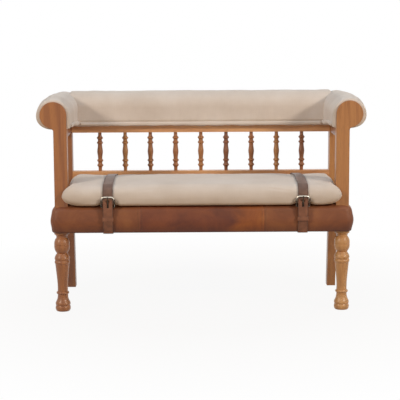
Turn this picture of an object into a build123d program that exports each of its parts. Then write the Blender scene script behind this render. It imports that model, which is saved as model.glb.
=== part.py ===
from build123d import *
from math import asin, cos, hypot, sin
import os

os.makedirs("parts", exist_ok=True)

# Hall bench with rolled arms. Millimetres, +X to the right, +Y to the rear, +Z up.

# Overall size
overall_width = 1200.0
overall_height = 787.0
overall_depth = 526.0

# Clearances
soft_gap = 0.3       # soft pieces and straps to their neighbours
mortise_gap = 0.2    # mortise around its tenon
post_gap = 0.5       # seat upholstery around the posts
pivot_gap = 0.1      # prong ring on the heel bar
cushion_gap = 3.0    # cushion between the front posts
screw_gap = 0.1      # screw shank in its hole
outline_trim = 1.0   # crossing outlines drawn past each other's flat faces

# Posts and legs
front_post_width = 48.5
front_post_depth = 46.0
front_post_round = 2.0
scroll_neck_radius = 12.0
rear_post_width = 33.0
rear_post_depth = 50.0
rear_post_setback = 38.5    # front face ahead of the back roll's centre
rear_foot_depth = 46.0
rear_foot_rake = 48.0
rear_knee_radius = 90.0
leg_inset = 21.5            # leg axis inside the posts' outer faces
spigot_radius = 12.0
spigot_length = 40.0

# Turned front leg, as (radius, height) points of arcs and curves, drawn at the pattern's height
leg_foot = ((24.0, 0.0), (28.0, 11.0), (25.5, 21.0))
leg_ogee = ((25.5, 21.0), (27.5, 29.0), (23.0, 40.0), (19.4, 54.0), (19.6, 63.5))
leg_ring = ((19.6, 63.5), (23.4, 68.0), (19.0, 73.0))
leg_shaft = ((19.0, 73.0), (18.7, 84.0), (21.3, 130.0), (25.5, 176.0))
leg_bead = ((25.5, 176.0), (28.2, 183.0), (25.5, 190.0))
leg_cup = ((25.5, 190.0), (28.0, 197.0), (25.0, 207.0), (19.2, 217.0))
leg_ball_low = ((19.2, 217.0), (26.6, 230.0), (28.4, 246.0))
leg_ball_groove = ((28.4, 246.0), (27.2, 247.5), (28.4, 249.0))
leg_ball_high = ((28.4, 249.0), (26.6, 263.0), (19.8, 275.0))
leg_collar = ((19.8, 275.0), (21.8, 283.0), (27.5, 288.0))
leg_pattern_height = 296.0
leg_height = 296.0

# Turned spindle, upper half, as (radius, height above its middle), drawn at the pattern's length
spindle_belly = ((11.2, 0.0), (9.6, 14.0), (8.4, 30.0))
spindle_inner_ring = ((8.4, 30.0), (12.0, 35.0), (8.7, 40.0))
spindle_cove = ((8.7, 40.0), (8.1, 44.5), (8.7, 49.0))
spindle_outer_ring = ((8.7, 49.0), (12.0, 54.0), (8.4, 59.0))
spindle_neck_radius = 6.8
spindle_tenon_radius = 6.0
spindle_tenon_length = 14.0
spindle_count = 9
spindle_end_gap = 108.5       # end spindles' axes inside the rear posts
spindle_pattern_length = 152.0

# Rails
tenon_length = 8.0
tenon_shoulder = 6.0
rail_thickness = 25.0
seat_rail_height = 67.0
front_rail_setback = 3.0
rear_rail_setback = 18.0
stretcher_place = 0.34        # share of the seat's half width
back_rail_thickness = 32.0
lower_rail_rise = 26.0        # lower back rail above the seat deck
lower_rail_height = 48.0
arm_rail_thickness = 30.0
upper_rail_height = 64.0
upper_rail_drop = 99.5        # upper rails' lower edge below the back roll's centre

# Upholstered rolls
roll_radius = 61.5
roll_outset = 1.0             # roll centre outside the posts' outer faces
arm_roll_drop = 4.0
scroll_rise = 4.0             # scroll centre above the arm roll's centre
roll_end_radius = 26.0
back_end_radius = 12.0
back_roll_lap = 24.5          # back roll's ends inside the arm roll's centres
cover_thickness = 2.0
core_radius = 44.0
core_end_gap = 14.0
cover_front_setback = 9.0
cover_edge_radius = 6.0
arm_cover_drop = 64.0         # fabric's lower edge below the roll's centre
back_cover_drop = 73.0
welt_height = 13.0
welt_thickness = 5.0

# Seat deck: edge outline as (inset, height) with a radius for each corner
deck_edge = ((8.0, 0.0), (0.0, 41.0), (9.0, 89.0), (40.0, 103.5))
deck_edge_radii = (4.0, 60.0, 22.0, 60.0)
deck_overhang = 46.0          # leather ahead of the front legs' axes
deck_side_overhang = 15.5
deck_rear_margin = 6.0
deck_rear_radius = 14.0
deck_corner_radius = 30.0
deck_lift = 0.5               # leather above the legs' collars
leather_thickness = 2.5
leather_hem = 88.0
board_thickness = 12.0
dust_cover_thickness = 0.8
dust_cover_lap = 12.0

# Seat cushion
cushion_overhang = 52.0       # front of the cushion ahead of the front legs' axes
cushion_rear_gap = 12.0
cushion_front_height = 70.0
cushion_crown_height = 82.0
cushion_rear_height = 62.0
cushion_bottom_radius = 28.0
cushion_top_radius = 36.0
cushion_rear_radius = 28.0
cushion_crown_radius = 1000.0
cushion_end_radius = 30.0
cushion_corner_radius = 34.0
cushion_post_gap = 1.0
cushion_draw = 6.0            # sides drawn in between the corners
ear_overhang = 21.0           # front corners past the posts' inner faces
ear_inset = 1.5
ear_end_radius = 24.0
ear_corner_radius = 12.0

# Straps and buckles
strap_width = 37.0
strap_thickness = 3.0
strap_places = {"left": -0.285, "right": 0.306}   # shares of the overall width
tail_heights = {"left": 8.0, "right": 56.0}   # tail's end above the deck's lower edge
flap_length = 22.0
strap_bend_radius = 8.0
strap_bow_radius = 60.0
hem_length = 52.0             # strap's run under the deck
keeper_thickness = 1.5
keeper_height = 15.0
keeper_rise = 44.0
bar_radius = 2.5
buckle_length = 41.5
buckle_side_gap = 3.0
buckle_heel_radius = 4.0
buckle_toe_radius = 12.0
toe_gap = 2.0                 # strap behind the toe bar
heel_drop = 8.0               # heel bar below the deck's top
prong_thickness = 3.2
prong_width = 4.0
prong_wall = 1.8
prong_tip = 2.5
prong_slot_width = 7.0
prong_slot_below = 2.0
prong_slot_above = 26.0
screw_radius = 2.0
screw_head_radius = 4.5
screw_head_height = 2.4
screw_length = 24.0
screw_spacing = 20.0
screw_inset = 14.0

SIDES = {"left": -1, "right": 1}

# Derived places: buckle, from the strap that runs in front of the cushion
strap_lift = soft_gap + strap_thickness / 2
fold_radius = bar_radius + soft_gap + strap_thickness / 2
heel_back = strap_thickness + soft_gap + fold_radius
toe_ahead = strap_thickness / 2 + toe_gap + bar_radius
buckle_tilt = asin((heel_back + toe_ahead) / buckle_length)
prong_reach = bar_radius + soft_gap + prong_thickness / 2
prong_tilt = buckle_tilt + asin(prong_reach / buckle_length)
prong_length = buckle_length * cos(prong_tilt - buckle_tilt) + prong_tip
prong_front = prong_length * sin(prong_tilt) + prong_thickness / 2 * cos(prong_tilt)

# Derived places: plan
strap_y = -overall_depth / 2 + prong_front - heel_back
heel_y = strap_y + heel_back
cushion_front_y = strap_y + strap_lift
leg_y = cushion_front_y + cushion_overhang
front_post_y = (leg_y - front_post_depth / 2, leg_y + front_post_depth / 2)
roll_rear_y = overall_depth / 2
back_roll_y = roll_rear_y - roll_radius
rear_post_y = (back_roll_y - rear_post_setback, back_roll_y - rear_post_setback + rear_post_depth)
roll_x = overall_width / 2 - roll_radius
post_outer_x = roll_x - roll_outset
front_post_inner_x = post_outer_x - front_post_width
rear_post_inner_x = post_outer_x - rear_post_width
leg_x = post_outer_x - leg_inset
arm_inner_x = roll_x - roll_radius
deck_front_y = leg_y - deck_overhang
deck_rear_y = rear_post_y[1] + deck_rear_margin
deck_half_x = post_outer_x + deck_side_overhang
cushion_rear_y = rear_post_y[0] - cushion_rear_gap
cushion_half_x = front_post_inner_x - cushion_gap
stretcher_x = stretcher_place * front_post_inner_x
strap_positions = {name: place * overall_width for name, place in strap_places.items()}

# Derived places: heights
deck_bottom_z = leg_height + deck_lift
deck_top_z = deck_bottom_z + deck_edge[-1][1]
seat_rail_z = (deck_bottom_z + leather_thickness, deck_bottom_z + leather_thickness + seat_rail_height)
board_top_z = seat_rail_z[1] + board_thickness
cushion_bottom_z = deck_top_z + soft_gap
lower_rail_z = (deck_top_z + lower_rail_rise, deck_top_z + lower_rail_rise + lower_rail_height)
back_roll_z = overall_height - roll_radius
upper_rail_z = (back_roll_z - upper_rail_drop, back_roll_z - upper_rail_drop + upper_rail_height)
spindle_length = upper_rail_z[0] - lower_rail_z[1]
arm_roll_z = back_roll_z - arm_roll_drop
scroll_z = arm_roll_z + scroll_rise
arm_cover_bottom_z = arm_roll_z - arm_cover_drop
back_cover_bottom_z = back_roll_z - back_cover_drop
heel_z = deck_top_z - heel_drop


def save(part, label):
    """Labels a finished piece and writes its STEP file."""
    part.label = label
    export_step(part, f"parts/{label}.step")


def add_box(low, high, mode=Mode.ADD):
    """Adds or cuts the box between two corners."""
    with Locations(tuple((a + b) / 2 for a, b in zip(low, high))):
        Box(*(b - a for a, b in zip(low, high)), mode=mode)


def side_box(side, x, y, z, grow=0.0):
    """Corners of a box given for the right-hand side, mirrored for the left."""
    xs = sorted((side * x[0], side * x[1]))
    low = (xs[0] - grow, y[0] - grow, z[0] - grow)
    high = (xs[1] + grow, y[1] + grow, z[1] + grow)
    return low, high


def tenon(rail, grow=0.0):
    """Corners of the tongue that runs through a rail and stands out at both its ends."""
    low, high, axis = rail
    low = [v + tenon_shoulder - grow for v in low]
    high = [v - tenon_shoulder + grow for v in high]
    low[axis] -= tenon_length + tenon_shoulder
    high[axis] += tenon_length + tenon_shoulder
    return low, high


def parallel(points, shift):
    """Corners of a closed counter-clockwise outline whose sides are moved outward by shift."""
    moved = []
    for before, here, after in zip(points[-1:] + points[:-1], points, points[1:] + points[:1]):
        normals = []
        for a, b in ((before, here), (here, after)):
            length = hypot(b[0] - a[0], b[1] - a[1])
            normals.append(((b[1] - a[1]) / length, (a[0] - b[0]) / length))
        scale = shift / (1 + normals[0][0] * normals[1][0] + normals[0][1] * normals[1][1])
        moved.append(tuple(h + scale * (m + n) for h, m, n in zip(here, *normals)))
    return moved


def rounded_face(points, radii, inset):
    """Flat face inside a closed outline with rounded corners, drawn in by inset."""
    with BuildSketch() as face:
        with BuildLine():
            FilletPolyline(*parallel(points, -inset), radius=[r - inset for r in radii], close=True)
        make_face()
    return face.sketch


# Rails, each as low corner, high corner and the axis that it runs along
back_rail_y = (rear_post_y[0], rear_post_y[0] + back_rail_thickness)
front_rail_y = (front_post_y[0] + front_rail_setback, front_post_y[0] + front_rail_setback + rail_thickness)
rear_rail_y = (rear_post_y[0] + rear_rail_setback, rear_post_y[0] + rear_rail_setback + rail_thickness)
front_span = (-front_post_inner_x, front_post_inner_x)
rear_span = (-rear_post_inner_x, rear_post_inner_x)
between_posts_y = (front_post_y[1], rear_post_y[0])
front_seat_rail = (*side_box(1, front_span, front_rail_y, seat_rail_z), 0)
rear_seat_rail = (*side_box(1, rear_span, rear_rail_y, seat_rail_z), 0)
lower_back_rail = (*side_box(1, rear_span, back_rail_y, lower_rail_z), 0)
upper_back_rail = (*side_box(1, rear_span, back_rail_y, upper_rail_z), 0)
side_seat_rails = {}
arm_rails = {}
stretchers = {}
for name, side in SIDES.items():
    rail_x = (post_outer_x - rail_thickness, post_outer_x)
    side_seat_rails[name] = (*side_box(side, rail_x, between_posts_y, seat_rail_z), 1)
    arm_x = (post_outer_x - arm_rail_thickness, post_outer_x)
    arm_rails[name] = (*side_box(side, arm_x, between_posts_y, upper_rail_z), 1)
    cross_x = (stretcher_x - rail_thickness / 2, stretcher_x + rail_thickness / 2)
    cross_y = (front_rail_y[1], rear_rail_y[0])
    stretchers[name] = (*side_box(side, cross_x, cross_y, seat_rail_z), 1)

spindle_y = (back_rail_y[0] + back_rail_y[1]) / 2
spindle_pitch = 2 * (rear_post_inner_x - spindle_end_gap) / (spindle_count - 1)
spindle_x = [(i - (spindle_count - 1) / 2) * spindle_pitch for i in range(spindle_count)]
screw_y = {"front": front_rail_y[0] + screw_inset, "rear": rear_rail_y[0] + screw_inset}


def screw_places(y, z):
    """Two screw places for each strap, in one row."""
    return [(x + s * screw_spacing / 2, y, z) for x in strap_positions.values() for s in SIDES.values()]


def drill_screws(y):
    """Cuts the strap screws' holes along one row."""
    with Locations(screw_places(y, deck_bottom_z)):
        Cylinder(screw_radius + screw_gap, screw_length * 2, mode=Mode.SUBTRACT)


def stretched(points, scale):
    """Points of a turning with their heights multiplied by scale."""
    return [(radius, height * scale) for radius, height in points]


def front_legs():
    """Turned legs with a spigot that goes up into the post."""
    scale = leg_height / leg_pattern_height
    for name, side in SIDES.items():
        with BuildPart() as leg:
            with BuildSketch(Plane((side * leg_x, leg_y, 0), x_dir=(1, 0, 0), z_dir=(0, -1, 0))):
                with BuildLine():
                    ThreePointArc(*stretched(leg_foot, scale))
                    Spline(*stretched(leg_ogee, scale))
                    ThreePointArc(*stretched(leg_ring, scale))
                    Spline(*stretched(leg_shaft, scale))
                    ThreePointArc(*stretched(leg_bead, scale))
                    Spline(*stretched(leg_cup, scale))
                    ThreePointArc(*stretched(leg_ball_low, scale))
                    ThreePointArc(*stretched(leg_ball_groove, scale))
                    ThreePointArc(*stretched(leg_ball_high, scale))
                    ThreePointArc(*stretched(leg_collar, scale))
                    Polyline(stretched(leg_collar, scale)[-1], (leg_collar[-1][0], leg_height),
                             (spigot_radius, leg_height), (spigot_radius, leg_height + spigot_length),
                             (0, leg_height + spigot_length), (0, 0), leg_foot[0])
                make_face()
            revolve(axis=Axis((side * leg_x, leg_y, 0), (0, 0, 1)))
        save(leg.part, f"front_leg_{name}")


def post_blank(side, grow):
    """Front post with its scroll head, grown by a clearance for the pieces around it."""
    plane = Plane.XZ.offset(grow - front_post_y[0])
    with BuildPart() as blank:
        with BuildSketch(plane) as face:
            with Locations((side * (post_outer_x - front_post_width / 2), (leg_height + scroll_z) / 2)):
                Rectangle(front_post_width, scroll_z - leg_height)
            with Locations((side * post_outer_x, scroll_z)):
                Circle(front_post_width)
            neck = (side * post_outer_x, scroll_z - front_post_width)
            fillet(face.vertices().sort_by_distance(neck)[0], scroll_neck_radius)
            if grow:
                offset(amount=grow)
        extrude(amount=-front_post_depth - 2 * grow)
    return blank.part


def front_posts():
    """Scroll-headed posts, mortised for the rails and bored for the legs."""
    for name, side in SIDES.items():
        with BuildPart() as post:
            add(post_blank(side, 0.0))
            fillet(post.faces().sort_by(Axis.Y)[0].edges().filter_by(lambda e: e.center().Z > leg_height),
                   front_post_round)
            for rail in (front_seat_rail, side_seat_rails[name], arm_rails[name]):
                add_box(*tenon(rail, mortise_gap), mode=Mode.SUBTRACT)
            with Locations((side * leg_x, leg_y, leg_height)):
                Cylinder(spigot_radius + mortise_gap, 2 * (spigot_length + mortise_gap), mode=Mode.SUBTRACT)
        save(post.part, f"front_post_{name}")


def rear_posts():
    """Rear posts that rake back below the seat."""
    outline = [
        (rear_post_y[0] + rear_foot_rake, 0.0),
        (rear_post_y[0] + rear_foot_rake + rear_foot_depth, 0.0),
        (rear_post_y[1], deck_bottom_z),
        (rear_post_y[1], upper_rail_z[1]),
        (rear_post_y[0], upper_rail_z[1]),
        (rear_post_y[0], deck_bottom_z),
    ]
    knee_z = (deck_bottom_z - outline_trim, deck_bottom_z + outline_trim)
    for name, side in SIDES.items():
        with BuildPart() as post:
            with BuildSketch(Plane.YZ.offset(side * (post_outer_x - rear_post_width / 2))) as face:
                with BuildLine():
                    Polyline(*outline, close=True)
                make_face()
                fillet(face.vertices().filter_by_position(Axis.Y, *knee_z), rear_knee_radius)
            extrude(amount=rear_post_width / 2, both=True)
            for rail in (rear_seat_rail, side_seat_rails[name], arm_rails[name], lower_back_rail, upper_back_rail):
                add_box(*tenon(rail, mortise_gap), mode=Mode.SUBTRACT)
        save(post.part, f"rear_post_{name}")


def seat_frame():
    """Seat rails, stretchers and the board that lies on them."""
    rows = {"front_seat_rail": (front_seat_rail, "front"), "rear_seat_rail": (rear_seat_rail, "rear")}
    for label, (rail, row) in rows.items():
        with BuildPart() as piece:
            add_box(*rail[:2])
            add_box(*tenon(rail))
            for stretcher in stretchers.values():
                add_box(*tenon(stretcher, mortise_gap), mode=Mode.SUBTRACT)
            drill_screws(screw_y[row])
        save(piece.part, label)
    for name in SIDES:
        for label, rail in ((f"side_seat_rail_{name}", side_seat_rails[name]),
                            (f"seat_stretcher_{name}", stretchers[name])):
            with BuildPart() as piece:
                add_box(*rail[:2])
                add_box(*tenon(rail))
            save(piece.part, label)
    with BuildPart() as board:
        add_box((-post_outer_x, front_rail_y[0], seat_rail_z[1]), (post_outer_x, rear_rail_y[1], board_top_z))
        cut_posts()
    save(board.part, "seat_board")


def cut_posts():
    """Cuts the four posts' openings, with their clearance, through an upholstery piece."""
    for side in SIDES.values():
        whole = (0.0, upper_rail_z[1])
        add_box(*side_box(side, (front_post_inner_x, post_outer_x), front_post_y, whole, post_gap), Mode.SUBTRACT)
        add_box(*side_box(side, (rear_post_inner_x, post_outer_x), rear_post_y, whole, post_gap), Mode.SUBTRACT)


def deck_blank(inset):
    """Padded seat deck with swelling sides and rounded corners, drawn in by inset."""
    edge = [(deck_front_y + y, deck_bottom_z + z) for y, z in deck_edge]
    depth_outline = [edge[0], (deck_rear_y, deck_bottom_z), (deck_rear_y, deck_top_z), *edge[:0:-1]]
    depth_radii = [deck_edge_radii[0], deck_edge_radii[0], deck_rear_radius, *deck_edge_radii[:0:-1]]
    right = [(deck_half_x - x, deck_bottom_z + z) for x, z in deck_edge]
    right[0] = (right[0][0], right[0][1] - outline_trim)
    right[-1] = (right[-1][0], right[-1][1] + outline_trim)
    width_outline = right + [(-x, z) for x, z in right[::-1]]
    width_radii = [*deck_edge_radii, *deck_edge_radii[::-1]]
    middle_y = (deck_front_y + deck_rear_y) / 2
    with BuildPart() as blank:
        with BuildSketch(Plane.YZ):
            add(rounded_face(depth_outline, depth_radii, inset))
        extrude(amount=deck_half_x, both=True)
        with BuildSketch(Plane.XZ.offset(-middle_y)):
            add(rounded_face(width_outline, width_radii, inset))
        extrude(amount=overall_depth, both=True, mode=Mode.INTERSECT)
        with BuildSketch():
            with Locations((0, middle_y)):
                RectangleRounded(2 * (deck_half_x - inset), deck_rear_y - deck_front_y - 2 * inset,
                                 deck_corner_radius - inset)
        extrude(amount=overall_height, mode=Mode.INTERSECT)
    return blank.part


def seat_deck():
    """Leather cover with a turned-in hem, the foam under it and the dust cover below."""
    hem_x = deck_half_x - leather_hem
    hem_y = (deck_front_y + leather_hem, deck_rear_y - leather_hem)
    with BuildPart() as leather:
        add(deck_blank(0.0))
        add(deck_blank(leather_thickness), mode=Mode.SUBTRACT)
        add_box((-hem_x, hem_y[0], 0.0), (hem_x, hem_y[1], seat_rail_z[1]), Mode.SUBTRACT)
        cut_posts()
        drill_screws(screw_y["front"])
        drill_screws(screw_y["rear"])
    save(leather.part, "leather_deck_cover")
    with BuildPart() as foam:
        add(deck_blank(leather_thickness + soft_gap))
        add_box((-post_outer_x - soft_gap, front_post_y[0] - soft_gap, 0.0),
                (post_outer_x + soft_gap, overall_depth, board_top_z), Mode.SUBTRACT)
        cut_posts()
    save(foam.part, "deck_foam")
    with BuildPart() as dust_cover:
        add_box((-hem_x - dust_cover_lap, hem_y[0] - dust_cover_lap, deck_bottom_z - dust_cover_thickness),
                (hem_x + dust_cover_lap, hem_y[1] + dust_cover_lap, deck_bottom_z))
    save(dust_cover.part, "dust_cover")


def back_frame():
    """Back and arm rails, and the turned spindles in their round mortises."""
    for label, rail, hole_z in (("lower_back_rail", lower_back_rail, lower_rail_z[1]),
                                ("upper_back_rail", upper_back_rail, upper_rail_z[0])):
        with BuildPart() as piece:
            add_box(*rail[:2])
            add_box(*tenon(rail))
            with Locations([(x, spindle_y, hole_z) for x in spindle_x]):
                Cylinder(spindle_tenon_radius + mortise_gap, 2 * (spindle_tenon_length + mortise_gap),
                         mode=Mode.SUBTRACT)
        save(piece.part, label)
    for name, rail in arm_rails.items():
        with BuildPart() as piece:
            add_box(*rail[:2])
            add_box(*tenon(rail))
        save(piece.part, f"arm_rail_{name}")
    middle_z = lower_rail_z[1] + spindle_length / 2
    end = spindle_length / 2
    scale = spindle_length / spindle_pattern_length
    for number, x in enumerate(spindle_x, start=1):
        with BuildPart() as spindle:
            with BuildSketch(Plane((x, spindle_y, middle_z), x_dir=(1, 0, 0), z_dir=(0, -1, 0))):
                with BuildLine():
                    Spline(*stretched(spindle_belly, scale), tangents=((0, 1), (0, 1)))
                    ThreePointArc(*stretched(spindle_inner_ring, scale))
                    ThreePointArc(*stretched(spindle_cove, scale))
                    ThreePointArc(*stretched(spindle_outer_ring, scale))
                    Spline(stretched(spindle_outer_ring, scale)[-1], (spindle_neck_radius, end),
                           tangents=((-1, 2), (0, 1)))
                    Polyline((spindle_neck_radius, end), (spindle_tenon_radius, end),
                             (spindle_tenon_radius, end + spindle_tenon_length),
                             (0, end + spindle_tenon_length), (0, 0), spindle_belly[0])
                make_face()
            revolve(axis=Axis((x, spindle_y, 0), (0, 0, 1)))
            mirror(about=Plane.XY.offset(middle_z))
        save(spindle.part, f"spindle_{number}")


def arm_roll_blank(side, inset):
    """Arm roll with a rounded rear end, and the block that runs down to its rail."""
    radius = roll_radius - inset
    y = (front_post_y[0] + cover_front_setback + inset, roll_rear_y - inset)
    block_x = (roll_x - radius, roll_x)
    block_z = (arm_cover_bottom_z + inset, arm_roll_z)
    with BuildPart() as blank:
        add_box(*side_box(side, block_x, (y[0], back_roll_y - inset), block_z))
        inner_edges = blank.edges().filter_by(Axis.Y).sort_by_distance((side * block_x[0], 0, block_z[0]))
        fillet(inner_edges[0], cover_edge_radius - inset)
        with BuildSketch(Plane.XY.offset(arm_roll_z)) as half:
            with BuildLine():
                Polyline((side * roll_x, y[0]), (side * (roll_x + radius), y[0]), (side * (roll_x + radius), y[1]),
                         (side * roll_x, y[1]), close=True)
            make_face()
            end_corner = (side * (roll_x + radius), y[1], arm_roll_z)
            fillet(half.vertices().sort_by_distance(end_corner)[0], roll_end_radius - inset)
        revolve(axis=Axis((side * roll_x, 0, arm_roll_z), (0, 1, 0)))
    return blank.part


def back_roll_blank(inset):
    """Back roll between the arm rolls, and the block that runs down to its rail."""
    radius = roll_radius - inset
    end_x = roll_x - back_roll_lap - inset
    block_x = arm_inner_x - soft_gap - inset
    block_y = (back_roll_y - radius, back_roll_y)
    block_z = (back_cover_bottom_z + inset, back_roll_z)
    with BuildPart() as blank:
        add_box((-block_x, block_y[0], block_z[0]), (block_x, block_y[1], block_z[1]))
        front_edges = blank.edges().filter_by(Axis.X).sort_by_distance((0, block_y[0], block_z[0]))
        fillet(front_edges[0], cover_edge_radius - inset)
        with BuildSketch(Plane.XY.offset(back_roll_z)) as half:
            with BuildLine():
                Polyline((-end_x, back_roll_y), (end_x, back_roll_y), (end_x, back_roll_y + radius),
                         (-end_x, back_roll_y + radius), close=True)
            make_face()
            fillet(half.vertices().group_by(Axis.Y)[-1], back_end_radius - inset)
        revolve(axis=Axis((0, back_roll_y, back_roll_z), (1, 0, 0)))
        for side in SIDES.values():
            add(arm_roll_blank(side, -soft_gap - inset), mode=Mode.SUBTRACT)
    return blank.part


def cut_roll_frame(name, side):
    """Cuts the posts and rails that stand inside an arm roll."""
    add(post_blank(side, soft_gap), mode=Mode.SUBTRACT)
    add_box(*arm_rails[name][:2], Mode.SUBTRACT)
    add_box(*side_box(side, (rear_post_inner_x, post_outer_x), rear_post_y, (0, upper_rail_z[1])), Mode.SUBTRACT)
    add_box(*upper_back_rail[:2], Mode.SUBTRACT)


def cut_back_frame():
    """Cuts the rail and the rear posts that stand inside the back roll."""
    add_box(*upper_back_rail[:2], Mode.SUBTRACT)
    for side in SIDES.values():
        add_box(*side_box(side, (rear_post_inner_x, post_outer_x), rear_post_y, (0, upper_rail_z[1])), Mode.SUBTRACT)


def arm_rolls():
    """Fabric cover, foam and wooden core of each arm."""
    core_y = (front_post_y[1], roll_rear_y - core_end_gap)
    for name, side in SIDES.items():
        with BuildPart() as core:
            with Locations(Location((side * roll_x, sum(core_y) / 2, arm_roll_z), (90, 0, 0))):
                Cylinder(core_radius, core_y[1] - core_y[0])
            cut_roll_frame(name, side)
        save(core.part, f"arm_roll_core_{name}")
        with BuildPart() as foam:
            add(arm_roll_blank(side, cover_thickness + soft_gap))
            with Locations(Location((side * roll_x, sum(core_y) / 2, arm_roll_z), (90, 0, 0))):
                Cylinder(core_radius + soft_gap, core_y[1] - core_y[0], mode=Mode.SUBTRACT)
            cut_roll_frame(name, side)
        save(foam.part, f"arm_roll_foam_{name}")
        with BuildPart() as cover:
            add(arm_roll_blank(side, 0.0))
            add(arm_roll_blank(side, cover_thickness), mode=Mode.SUBTRACT)
            cut_roll_frame(name, side)
        save(cover.part, f"arm_roll_cover_{name}")


def back_roll():
    """Fabric cover, foam and wooden core of the back."""
    core_half_x = arm_inner_x - core_end_gap
    with BuildPart() as core:
        with Locations(Location((0, back_roll_y, back_roll_z), (0, 90, 0))):
            Cylinder(core_radius, 2 * core_half_x)
        add_box(*upper_back_rail[:2], Mode.SUBTRACT)
    save(core.part, "back_roll_core")
    with BuildPart() as foam:
        add(back_roll_blank(cover_thickness + soft_gap))
        with Locations(Location((0, back_roll_y, back_roll_z), (0, 90, 0))):
            Cylinder(core_radius + soft_gap, 2 * core_half_x, mode=Mode.SUBTRACT)
        cut_back_frame()
    save(foam.part, "back_roll_foam")
    with BuildPart() as cover:
        add(back_roll_blank(0.0))
        add(back_roll_blank(cover_thickness), mode=Mode.SUBTRACT)
        cut_back_frame()
    save(cover.part, "back_roll_cover")


def welts():
    """Folded fabric bands along the lower edges of the rolls' inner faces."""
    back_face_y = back_roll_y - roll_radius
    band_z = back_cover_bottom_z + cover_edge_radius / 2 + welt_height / 2
    with BuildPart() as band:
        with BuildSketch(Plane.YZ):
            with Locations((back_face_y - soft_gap - welt_thickness / 2, band_z)):
                SlotOverall(welt_height, welt_thickness, rotation=90)
        extrude(amount=arm_inner_x - welt_thickness - 2 * soft_gap, both=True)
    save(band.part, "back_welt")
    arm_z = arm_cover_bottom_z + cover_edge_radius / 2 + welt_height / 2
    start_y = front_post_y[1]
    for name, side in SIDES.items():
        with BuildPart() as band:
            with BuildSketch(Plane.XZ.offset(-start_y)):
                with Locations((side * (arm_inner_x - soft_gap - welt_thickness / 2), arm_z)):
                    SlotOverall(welt_height, welt_thickness, rotation=90)
            extrude(amount=start_y - back_face_y + soft_gap)
        save(band.part, f"arm_welt_{name}")


cushion_outline = [
    (cushion_front_y, cushion_bottom_z),
    (cushion_rear_y, cushion_bottom_z),
    (cushion_rear_y, cushion_bottom_z + cushion_rear_height),
    ((cushion_front_y + cushion_rear_y) / 2, cushion_bottom_z + cushion_crown_height),
    (cushion_front_y, cushion_bottom_z + cushion_front_height),
]
cushion_radii = [cushion_bottom_radius, cushion_rear_radius, cushion_rear_radius,
                 cushion_crown_radius, cushion_top_radius]


def cushion_blank(half_x, plan_y, end_radius, corner_radius, inset):
    """Crowned length of cushion with rounded ends and drawn-in sides."""
    end_z = (cushion_bottom_z - outline_trim, cushion_bottom_z + cushion_crown_height)
    end_outline = [(-half_x, end_z[0]), (half_x, end_z[0]), (half_x, end_z[1]), (-half_x, end_z[1])]
    draw = cushion_draw * (plan_y[1] - plan_y[0]) / overall_depth
    with BuildPart() as blank:
        with BuildSketch(Plane.YZ):
            add(rounded_face(cushion_outline, cushion_radii, inset))
        extrude(amount=overall_width / 2, both=True)
        with BuildSketch(Plane.XZ):
            add(rounded_face(end_outline, [end_radius] * len(end_outline), 0.0))
        extrude(amount=overall_depth, both=True, mode=Mode.INTERSECT)
        with BuildSketch() as plan:
            with BuildLine():
                for side in SIDES.values():
                    ThreePointArc((side * half_x, plan_y[0]), (side * (half_x - draw), sum(plan_y) / 2),
                                  (side * half_x, plan_y[1]))
                for y in plan_y:
                    Line((-half_x, y), (half_x, y))
            make_face()
            fillet(plan.vertices(), corner_radius)
        extrude(amount=overall_height, mode=Mode.INTERSECT)
    return blank.part


def seat_cushion():
    """Crowned cushion with full front corners that stand ahead of the posts."""
    main_y = (cushion_front_y - outline_trim, cushion_rear_y + outline_trim)
    ear_y = (cushion_front_y + ear_inset, front_post_y[0] - cushion_post_gap)
    with BuildPart() as cushion:
        add(cushion_blank(cushion_half_x, main_y, cushion_end_radius, cushion_corner_radius, 0.0))
        add(cushion_blank(front_post_inner_x + ear_overhang, ear_y, ear_end_radius, ear_corner_radius, ear_inset))
    save(cushion.part, "seat_cushion")


def strap(x, points, radii):
    """Flat strap swept along a route of straight runs and bends."""
    with BuildPart() as band:
        with BuildLine(Plane.YZ.offset(x)) as route:
            FilletPolyline(*points, radius=radii)
        path = route.wire()
        with BuildSketch(Plane(path @ 0, x_dir=(1, 0, 0), z_dir=path % 0)):
            Rectangle(strap_width, strap_thickness)
        sweep(path=path)
    return band.part


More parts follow.
